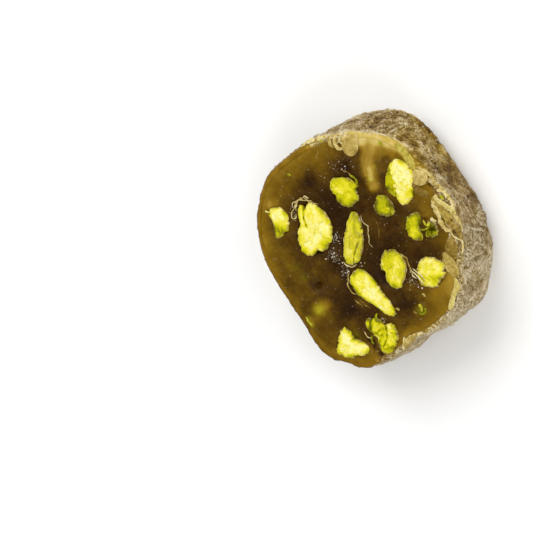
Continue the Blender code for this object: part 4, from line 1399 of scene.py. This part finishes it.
# %% Torn skin along the rim
FLAPS = (
    # The lobe and the curled knot beside the ledge.
    Strip(((17.2, -9.9), (16.1, -8.9), (15, -8.3), (13.7, -7.5)), 3.2, 0.2, 0.14, 0.10, 0.69, 0, 0, 0.35),
    Strip(((16.9, -10.9), (15.8, -10.4), (14.8, -9.9), (13.9, -9.1)), 0.35, 0.2, 0.16, 0.05, 0.78, 0, 0, 0.5),
    Strip(((18.7, -8.9), (18.5, -7.6), (17.8, -6.7), (16.9, -6.3), (16.1, -6.6), (15.7, -7.4)),
          0.6, 0.3, 0.12, 0.05, 0.76, 0, 0.25, 0.6),
    Strip(((18, -8.7), (17.5, -7.8), (16.9, -7.5), (16.3, -7.8)), 0.35, 0.25, 0.12, 0, 0.84, 0, 0, 0.6),
    Strip(((18.5, -9.2), (17.6, -9.2), (16.8, -8.7)), 0.5, 0.25, 0.14, 0, 0.86, 0, 0, 0.6),
    Strip(((17.4, -6.4), (17.2, -7.2), (17.5, -8)), 0.3, 0.25, 0.10, 0, 0.80, 0, 0, 0.6),
    Strip(((19.5, -7.2), (18.9, -6.2), (18, -5.7), (17, -5.7)), 0.6, 0.25, 0.06, 0, 0.66, 0, 0.2, 0.6),
    # The lobe of starch outside the rim.
    Strip(((21.6, 0.3), (21.3, -1.1), (20.9, -2.4), (20.3, -3.7)), 1.1, 0.4, 0.22, 0.1, 0.84, 0, 0.3, 0.45),
    Strip(((20.4, -3.4), (20, -4.6), (19.4, -5.9)), 0.8, 0.4, 0.20, 0.1, 0.80, 0, 0.3, 0.6),
    Strip(((20.6, -1.8), (20.2, -3.4), (19.5, -5)), 0.8, 0.3, 0, 0.1, 0.62, 0, 0.3, 0.3),
    # The olive film between the pale kernel and the wall.
    Strip(((10.6, -15.7), (9, -16.3), (7.4, -16.5), (5.8, -16.3), (4.4, -15.7)),
          1.3, 0.2, 0.08, 0.05, 0.66, 0.35, 0, 0.3),
    # The film and its folds beside the pale kernel.
    Strip(((4.6, -15.2), (3.3, -15.9), (2.3, -16.1), (1.4, -16.1)), 2.8, 0.2, 0.16, 0.15, 0.74, 0, 0, 0.5),
    Strip(((4.9, -16.7), (3.5, -17.4), (2.2, -17.8), (0.8, -17.9)), 0.4, 0.25, 0.26, 0.1, 0.80, 0, 0, 0.5),
    Strip(((3, -14.3), (1.6, -14.2), (0.3, -14.8), (-0.8, -15.5)), 1.3, 0.2, 0, 0.1, 0.46, 0, 0, 0.2),
    Strip(((1.2, -17.7), (-0.6, -18), (-2.2, -18.3), (-4, -18.3), (-6, -17.8)),
          0.6, 0.25, 0.12, 0.1, 0.72, 0, 0.3),
    # Frills along the straight side: an amber slope between two torn lips.
    Strip(((-1.2, -16), (-3, -16.1), (-5, -16.1), (-7.2, -16)), 2, 0.2, 0.04, 0.1, 0.60, 0.10, 0, 0.5),
    Strip(((-1.6, -15.7), (-2.7, -15.1), (-4.1, -15), (-5.6, -14.5), (-7.1, -14.4), (-8.4, -15.1)),
          0.85, 0.25, 0.22, 0.15, 0.76, 0, 0.25, 0.8),
    Strip(((-4.1, -13.3), (-4.7, -13.5), (-5.3, -13.9)), 0.6, 0.3, 0.30, 0.1, 0.84),
    Strip(((-1.2, -16.5), (-2.2, -16.5), (-3.4, -16.9), (-5, -17.4), (-6.4, -17.5)),
          1.05, 0.3, 0.20, 0.12, 0.80, 0.14, 0.2, 0.7),
    Strip(((-0.6, -17.3), (-1.4, -17.8), (-2.3, -18.2), (-3.1, -17.9)),
          0.4, 0.3, 0.3, 0.1, 0.82, 0, 0.2, 0.7),
    Strip(((-6, -17.3), (-7.2, -17.3), (-8.6, -17.3), (-9.8, -16.9)),
          0.6, 0.25, 0.12, 0.1, 0.70, 0, 0.2, 0.7),
    Strip(((-6.8, -15.6), (-8.2, -16.2), (-9.6, -16.2), (-10.8, -15.7)),
          1.1, 0.2, 0.06, 0.2, 0.54, 0, 0.2, 0.5),
    Strip(((-8.2, -14.9), (-9.6, -15.1), (-10.8, -15.5), (-11.7, -15), (-12.8, -14)),
          0.35, 0.25, 0.2, 0.1, 0.82, 0, 0.1, 0.6),
    # Flaps folded in at the pulled-in corner.
    Strip(((-9.2, -14.4), (-10.5, -13.5), (-11.6, -12.7), (-12.8, -12.2)),
          2.4, 0.2, 0.15, 0.1, 0.52, 0, 0, 0.3),
    Strip(((-11, -12.1), (-12.3, -11.3), (-13.8, -11), (-15.6, -11)),
          2.4, 0.2, 0.20, 0.15, 0.62, 0.03, 0, 0.5),
    Strip(((-11, -12.7), (-11.5, -11.4), (-12.6, -10.4), (-13.8, -10.1), (-15, -10.3)),
          0.35, 0.2, 0.28, 0.1, 0.68, 0, 0, 0.4),
    # The bright torn rim, and the starch after it.
    Strip(((-15.4, -10.4), (-16.9, -9.9), (-17.6, -9), (-18.3, -8.2), (-18.9, -7.3), (-19.6, -6)),
          1.1, 0.25, 0.2, 0.15, 0.76, 0.16, 0.3, 0.5),
    Strip(((-19.7, 1.8), (-19.9, 3), (-20.1, 4.2), (-20.7, 5.8)), 1.5, 0.2, 0.22, 0.1, 0.64, 0, 0.3, 0.7),
    Strip(((-18.8, 4.1), (-19.5, 4.8), (-20.2, 5.4), (-20.7, 5.9)), 0.4, 0.2, 0.16, 0.1, 0.88, 0, 0.1, 0.7),
    Strip(((-19.6, 1.3), (-20.1, 1.9), (-20.6, 2.7)), 0.4, 0.2, 0.08, 0.1, 0.86, 0, 0.1, 0.7),
)


print(len(FLAPS), "torn strips of skin, the widest", max(flap.width for flap in FLAPS), "mm")


# %% The finish of torn skin
def flap_finish():
    """Torn film: amber where it is thin, cream where starch has dried on it."""
    recipe = Recipe("torn_skin", roughness=0.5, specular=0.1)
    mottle = recipe.grain(0.5, 3.0)
    fine = recipe.grain(0.16, 2.0)
    tone = recipe.stirred(recipe.painted("tone"), mottle, 0.24)
    tone = recipe.stirred(tone, fine, 0.16)
    film = recipe.ramp(tone, (
        (0.20, (74, 50, 8)), (0.38, (110, 83, 22)), (0.52, (150, 122, 50)), (0.66, (190, 164, 86)),
        (0.80, (220, 197, 122)), (0.95, (244, 231, 178)),
    ))
    nut = recipe.ramp(tone, (
        (0.10, (70, 72, 4)), (0.40, (140, 140, 8)), (0.65, (205, 198, 40)), (0.90, (248, 240, 130)),
    ))
    colour = recipe.mix(recipe.painted("green"), film, nut)
    rough = recipe.fade(fine, 0.3, 0.7, 0.38, 0.62)
    normal = recipe.bump(mottle, 0.2)
    normal = recipe.bump(fine, 0.06, normal)
    return recipe.finish(colour, rough, normal)


torn_skin = flap_finish()
strips_piece("rim_flaps", FLAPS, torn_skin)

# %% Husk, fibres and chips of nut
HUSKS = (
    Strip(((12.3, 8.1), (13.1, 7.1), (13.5, 5.9), (13, 4.9), (12.1, 4.2), (11.2, 3.7), (10.3, 3.3)),
          0.22, 0.15, 0.12, 0.05, 0.66, 0, 0.35),
    Strip(((12, 7.7), (12.8, 6.9), (13.2, 6), (12.7, 5.1), (11.7, 4.3), (10.6, 3.9)),
          0.16, 0.12, 0.18, 0, 0.86, 0, 0.3),
    Strip(((12.8, 7.8), (13.5, 7.2), (13.3, 6.5), (12.7, 6.8), (12.8, 7.5)),
          0.16, 0.12, 0.2, 0, 0.80, 0, 0.1),
    Strip(((12.6, 7.3), (12.2, 8.4), (11.3, 9), (10.9, 8.4), (11.6, 7.9)), 0.18, 0.15, 0.2, 0, 0.70, 0, 0.1),
    Strip(((13.3, 4.7), (13, 4.2), (12.4, 4)), 0.22, 0.2, 0.25, 0.1, 0.92, 0, 0.2),
    Strip(((9.2, 3.1), (7.6, 3.2), (6, 3.7), (4.8, 4.4)), 0.16, 0.15, 0.05, 0, 0.66, 0, 0.2),
    Strip(((-6, -4.4), (-7, -4.9), (-8, -4.8), (-9.1, -4.5), (-10.3, -4.1)),
          0.28, 0.15, 0.12, 0.1, 0.60, 0, 0.25),
    Strip(((-8.8, -3.9), (-9.8, -2.9), (-10.4, -1.6), (-11, -0.4)), 0.20, 0.15, 0.05, 0, 0.70, 0, 0.2),
    Strip(((-0.9, 5.7), (-1.8, 5.6), (-2.6, 5), (-2.9, 3.9)), 0.16, 0.15, 0.05, 0, 0.90, 0, 0.15),
    Strip(((-3.1, 6), (-4.2, 7.1), (-5.6, 7.8), (-7.2, 7.4)), 0.22, 0.15, 0.08, 0, 0.62, 0, 0.2),
    Strip(((-7.7, 8.1), (-8.6, 8), (-9.6, 7.5)), 0.18, 0.12, 0.03, 0, 0.50, 0, 0.15),
    Strip(((-8.3, 7.4), (-9.8, 7), (-11, 6.6)), 0.18, 0.12, 0.03, 0, 0.46, 0, 0.15),
    # Frayed fibres of the round kernel, which stand on its cut top.
    Strip(((-9.6, -4.5), (-10.6, -4.8), (-12, -5), (-13.2, -5.1)), 0.24, 0.2, 0.72, 0, 0.92, 0, 0.1),
    Strip(((-9.6, -4.9), (-10.4, -5.3), (-11.4, -5.6), (-13, -5.6)), 0.22, 0.2, 0.76, 0, 0.88, 0, 0.1),
    Strip(((-10.2, -4.3), (-10.8, -4.2), (-11.6, -4.4)), 0.20, 0.2, 0.45, 0, 0.84, 0, 0.1),
    Strip(((-13.6, 10.2), (-14.8, 10.2), (-15.6, 9.6)), 0.18, 0.15, 0.1, 0, 0.70, 0, 0.15),
    # Threads on the dark gel beside the long kernel.
    Strip(((4.1, -2.2), (2.7, -2), (1.6, -2.4), (0.4, -1.4), (-1.2, -0.6), (-2.1, -0.7)),
          0.12, 0.08, 0.04, 0, 0.90, 0, 0.35),
    Strip(((2.2, -4.2), (0.6, -4), (-0.8, -3.2), (-1.6, -2.3)), 0.10, 0.08, 0, 0, 0.42),
    Strip(((18.6, -3), (17.9, -2.4), (17.6, -1.6)), 0.18, 0.12, 0.02, 0, 0.55),
    Strip(((12.6, -4.6), (11.8, -5.2), (10.9, -5.4)), 0.14, 0.1, 0.08, 0, 0.60),
    Strip(((-13.7, 2.5), (-14, 2.1), (-14.3, 2.2)), 0.4, 0.25, 0.1, 0.05, 0.66),
    Strip(((-14.3, -3.4), (-14.7, -3.7), (-15.1, -3.5)), 0.3, 0.25, 0.05, 0.05, 0.58),
    Strip(((-16, -0.3), (-16.4, -0.2), (-16.7, -0.5)), 0.3, 0.2, 0.05, 0.05, 0.50),
    Strip(((16.4, 8.8), (16, 8.4), (15.7, 8.1)), 0.28, 0.15, 0.03, 0, 0.44),
)
CHIPS = (
    Strip(((-15.5, -1.7), (-16.2, -1.9), (-17, -1.5)), 0.50, 0.3, 0.12, 0.1, 0.62, 1),
    Strip(((-16.9, -0.9), (-17.4, -1.4), (-17.3, -2.1), (-16.6, -2.4)), 0.50, 0.25, 0.05, 0.05, 0.34, 1),
    Strip(((11.2, -5.1), (10.3, -5.7), (9.3, -5.6), (8.6, -5.1)), 0.4, 0.3, 0.1, 0.05, 0.42, 1),
    Strip(((18.5, 4.8), (18.1, 4.5), (17.8, 4.4)), 0.32, 0.15, 0.03, 0, 0.52, 1),
    Strip(((12.8, -13.4), (12.3, -13.6), (11.8, -13.7)), 0.5, 0.15, 0.12, 0, 0.46, 1),
    Strip(((-4.9, 18.2), (-5.9, 18.4), (-7.1, 18.2)), 0.3, 0.15, 0.04, 0, 0.56, 0.9),
    Strip(((-1.9, -17.2), (-2.4, -17.5), (-2.9, -17.4)), 0.4, 0.3, 0.35, 0.1, 0.60, 0.9),
    Strip(((19.9, -4.1), (19.5, -4.5), (19, -4.6)), 0.4, 0.3, 0.1, 0.1, 0.62, 1),
    Strip(((-3.6, -12), (-4.6, -11.9), (-5.4, -12.4)), 0.34, 0.3, 0.55, 0.1, 0.60, 1),
    Strip(((-4.6, -10.4), (-5.2, -11.2), (-5.4, -12.2)), 0.32, 0.3, 0.55, 0.1, 0.50, 1),
    Strip(((-5.6, -11.6), (-6.2, -11), (-6.8, -10.8)), 0.30, 0.3, 0.5, 0.1, 0.44, 1),
    Strip(((-12.3, 6), (-12.9, 6.6), (-13.4, 6.8)), 0.4, 0.3, 0.45, 0.1, 0.45, 1),
    Strip(((-15, 9.4), (-15.8, 9.9), (-16.6, 10)), 0.3, 0.25, 0.10, 0.1, 0.42, 1),
    Strip(((15.6, 12.7), (15.1, 12.4), (14.7, 12.1)), 0.36, 0.25, 0.2, 0.1, 0.80, 0.7),
)
strips_piece("husk_curls", HUSKS, torn_skin)
strips_piece("nut_chips", CHIPS, torn_skin)

# %% [markdown]
# ## Grains of starch and sugar
#
# Fine white grains cling to the skin, and a few lie on the sticky cut face,
# thickest beside some of the kernels, where the white specks also stand in
# for glints of light on the gel, as painted highlights.  Each is a crystal of
# twenty faces, so that thousands of them stay light.  Its size and turn are
# drawn from a seeded generator, and it is put on the surface that carries it.

# %% Scattered grains
GOLDEN = 0.5 * (1.0 + math.sqrt(5.0))


def crystal():
    """The twelve corners and twenty faces of an icosahedron: (0, 1, golden) turned about."""
    corners = []
    for first in (-1.0, 1.0):
        for second in (-GOLDEN, GOLDEN):
            corners += [(0.0, first, second), (first, second, 0.0), (second, 0.0, first)]
    corners = np.array(corners) / math.sqrt(1.0 + GOLDEN ** 2)
    near = np.linalg.norm(corners[:, None] - corners[None], axis=2) < 1.1
    faces = [(a, b, c) for a in range(12) for b in range(a + 1, 12) for c in range(b + 1, 12)
             if near[a, b] and near[b, c] and near[a, c]]
    faces = np.array(faces)
    a, b, c = (corners[faces[:, side]] for side in range(3))
    inwards = np.einsum("ij,ij->i", np.cross(b - a, c - a), a) < 0.0
    faces[inwards] = faces[inwards][:, ::-1]
    return corners, faces


print("a crystal has", len(crystal()[1]), "faces")


# %% Many crystals as one piece
def grains_piece(name, places, sizes, material, seed):
    """Copies of the crystal: stretched, turned at random and moved to their places."""
    random = np.random.default_rng(seed)
    corners, faces = crystal()
    stretch = random.uniform(0.6, 1.3, (len(places), 1, 3)) * sizes[:, None, None] * 0.5
    frames, _ = np.linalg.qr(random.normal(size=(len(places), 3, 3)))
    frames *= np.sign(np.linalg.det(frames))[:, None, None]
    points = np.einsum("nij,nkj->nki", frames, corners[None] * stretch) + places[:, None]
    points = (points.reshape(-1, 3) + RIM_CENTRE) * MM
    every = (faces[None] + 12 * np.arange(len(places))[:, None, None]).reshape(-1, 3)
    mesh = bpy.data.meshes.new(name)
    mesh.from_pydata(points.tolist(), [], every.tolist())
    shade = np.repeat(random.uniform(0.0, 1.0, len(places)), 12)
    paint_mesh(mesh, "shade", shade)
    ride_root(name, mesh, material)
    print(name, "has", len(places), "grains")


def grain_finish():
    """White crystals, some a little browned by the gel under them."""
    recipe = Recipe("grains_and_glints", roughness=0.45, specular=0.4)
    spots = recipe.grain(0.3, 1.0)
    shade = recipe.stirred(recipe.painted("shade"), spots, 0.3)
    colour = recipe.ramp(shade, ((0.0, (150, 128, 92)), (0.5, (205, 190, 158)), (1.0, (250, 246, 236))))
    return recipe.finish(colour, recipe.fade(spots, 0.3, 0.7, 0.35, 0.6), recipe.bump(spots, 0.03))


# %% Where the grains lie
def on_gel(x, y):
    """Places on the gel's face, with those on a kernel left out."""
    from_kernel = nearest_kernel(x, y)
    keep = (from_kernel > 0.25) & (np.hypot(x, y) < rim_radius(np.degrees(np.arctan2(y, x))) - 1.2)
    return np.stack([x, y, gel_height(x, y, from_kernel)], axis=-1)[keep]


LEAST_GRAIN = 0.07          # mm across, and most of the grains stay near it
BIG_GRAIN = 0.42
LOOSE_GRAINS = 900          # thrown at the square round the face, so that some miss it
SKIN_GRAINS = 4600
WALL_ROWS = slice(7, 95)    # the skin's rows from its lower edge to the lip
STARCHY = 0.4               # grains stay where starch is thicker than this

random = np.random.default_rng(20)
loose = random.uniform(-HALF_LENGTH, HALF_LENGTH, (2, LOOSE_GRAINS))
# Clusters beside the kernels: grains of dust, and also white specks that are painted highlights for glints of
# light on the gel.
beside = np.concatenate([
    random.normal((4.0, 4.3), (0.9, 0.45), (80, 2)), random.normal((1.0, 6.6), (1.3, 0.7), (110, 2)),
    random.normal((-2.8, 6.6), (0.9, 0.8), (50, 2)), random.normal((13.2, -4.6), (1.6, 1.6), (60, 2)),
    random.normal((-11.2, -3.2), (1.0, 0.8), (50, 2)), random.normal((11.6, 8.3), (0.5, 0.5), (40, 2)),
    random.normal((-2.6, 3.2), (0.5, 0.5), (20, 2)), random.normal((-13.9, 6.4), (0.35, 0.35), (90, 2)),
]).T
gel_places = np.concatenate([on_gel(*loose), on_gel(*beside)])
gel_sizes = LEAST_GRAIN + 0.08 * random.random(len(gel_places)) ** 4
gel_sizes[len(on_gel(*loose)):] += 0.26 * random.random(len(on_gel(*beside))) ** 5
big_places = on_gel(np.array([-13.5, -3.0, -2.6, 14.3]), np.array([-4.1, 3.0, 3.5, 12.4]))
grain_material = grain_finish()
grains_piece("gel_specks", np.concatenate([gel_places, big_places]),
             np.concatenate([gel_sizes, np.full(len(big_places), BIG_GRAIN)]),
             grain_material, 21)

skin_points = skin_grid.points[WALL_ROWS].reshape(-1, 3)
skin_points = skin_points[skin_grid.paint["starch"][WALL_ROWS].ravel() > STARCHY]
patchy = ease(0.3 + 1.6 * noise(*skin_points.T, 3.0, 23)) + 0.15
chosen = random.choice(len(skin_points), SKIN_GRAINS, replace=False, p=patchy / patchy.sum())
skin_sizes = LEAST_GRAIN + 0.22 * random.random(len(chosen)) ** 5
grains_piece("skin_grains", skin_points[chosen], skin_sizes, grain_material, 22)

# %% [markdown]
# ## Floor, light and camera
#
# The sweet lies on a plain pale floor that fills the picture.  Soft light
# comes from large panels at the sides, never from straight across: a glossy
# dark face shows the mirror image of what stands opposite the camera, and a
# panel there would turn it grey.

# %% The floor
FLOOR_HALF = 3.0            # metres


def floor_piece():
    """A flat square sheet with a plain pale matt finish."""
    side = np.linspace(-FLOOR_HALF, FLOOR_HALF, 5)
    x, y = np.meshgrid(side, side)
    index = np.arange(25).reshape(5, 5)
    faces = np.stack([index[:-1, :-1], index[:-1, 1:], index[1:, 1:], index[1:, :-1]], axis=-1)
    mesh = bpy.data.meshes.new("floor")
    points = np.stack([x, y, 0.0 * x], axis=-1).reshape(-1, 3)
    mesh.from_pydata(points.tolist(), [], faces.reshape(-1, 4).tolist())
    recipe = Recipe("floor", roughness=0.8, specular=0.2)
    paper = recipe.ramp(recipe.grain(400.0, 1.0), ((0.0, (264, 264, 263)), (1.0, (266, 266, 265))))
    mesh.materials.append(recipe.finish(paper))
    return placed("floor", mesh)


floor_piece()
print("floor", 2.0 * FLOOR_HALF, "m wide")

# %% The lights
def away(azimuth, elevation):
    """The direction from the piece to something that stands round it."""
    turn, lift = math.radians(azimuth), math.radians(elevation)
    return Vector((math.sin(turn) * math.cos(lift), -math.cos(turn) * math.cos(lift), math.sin(lift)))


def panel(name, azimuth, elevation, distance, size, power):
    """A square soft light at a direction from the piece, facing it."""
    light = bpy.data.lights.new(name, "AREA")
    light.shape = "SQUARE"
    light.size = size
    light.energy = power
    lamp = placed(name, light)
    back = away(azimuth, elevation)
    lamp.location = back * distance
    lamp.rotation_euler = back.to_track_quat("Z", "Y").to_euler()


panel("panel_left", 75.0, 50.0, 0.9, 0.7, 6.4)
panel("panel_right", -105.0, 42.0, 0.9, 0.7, 3.8)
panel("panel_front", -15.0, 40.0, 1.0, 0.8, 4.4)
panel("panel_back", 143.0, 22.0, 1.0, 0.8, 1.8)
world = bpy.data.worlds.new("studio")
world.use_nodes = True
sky = world.node_tree.nodes["Background"]
sky.inputs["Color"].default_value = (1.0, 1.0, 1.0, 1.0)
sky.inputs["Strength"].default_value = 0.14
bpy.context.scene.world = world
bpy.context.scene.view_settings.view_transform = "Standard"

# %% The camera
CAMERA_AZIMUTH = -15.0      # degrees from looking along +Y
CAMERA_ELEVATION = 68.0
CAMERA_DISTANCE = 400.0     # mm
CAMERA_LENS = 146.0         # mm
SENSOR_WIDTH = 36.0         # mm
CAMERA_ROLL = 21.0          # the side nearest the camera points right and this much up
AIM = Vector((-0.1, -0.8, 15.0))
AIM_RIGHT = 0.0465          # the piece sits right of and above the middle of the view,
AIM_UP = 0.0127             # by these tangents


def make_camera():
    """Stands back from the aim, rolls, then turns so that the aim leaves the middle."""
    back = away(CAMERA_AZIMUTH, CAMERA_ELEVATION)
    near = away(CAMERA_AZIMUTH, 0.0)
    near = (near - near.dot(back) * back).normalized()
    side = back.cross(near)
    roll = math.radians(CAMERA_ROLL)
    right = math.cos(roll) * near - math.sin(roll) * side
    up = math.sin(roll) * near + math.cos(roll) * side
    facing = Matrix((right, up, back)).transposed()
    aside = Vector((AIM_RIGHT, AIM_UP, -1.0)).normalized()
    swing = Vector((0.0, 0.0, -1.0)).rotation_difference(aside).to_matrix()
    data = bpy.data.cameras.new("camera")
    data.lens = CAMERA_LENS
    data.sensor_width = SENSOR_WIDTH
    data.clip_start = 0.01
    camera = placed("camera", data)
    camera.matrix_world = Matrix.LocRotScale(
        (AIM + back * CAMERA_DISTANCE) * MM, facing @ swing.transposed(), None)
    bpy.context.scene.camera = camera
    return camera


camera = make_camera()
print("camera at", [round(1000.0 * v) for v in camera.location], "mm")

# %% [markdown]
# ## Done
#
# The dressed piece should fill the same box as its solids, give or take the
# film and its torn edges.

# %% Bring the scene up to date
bpy.context.view_layer.update()
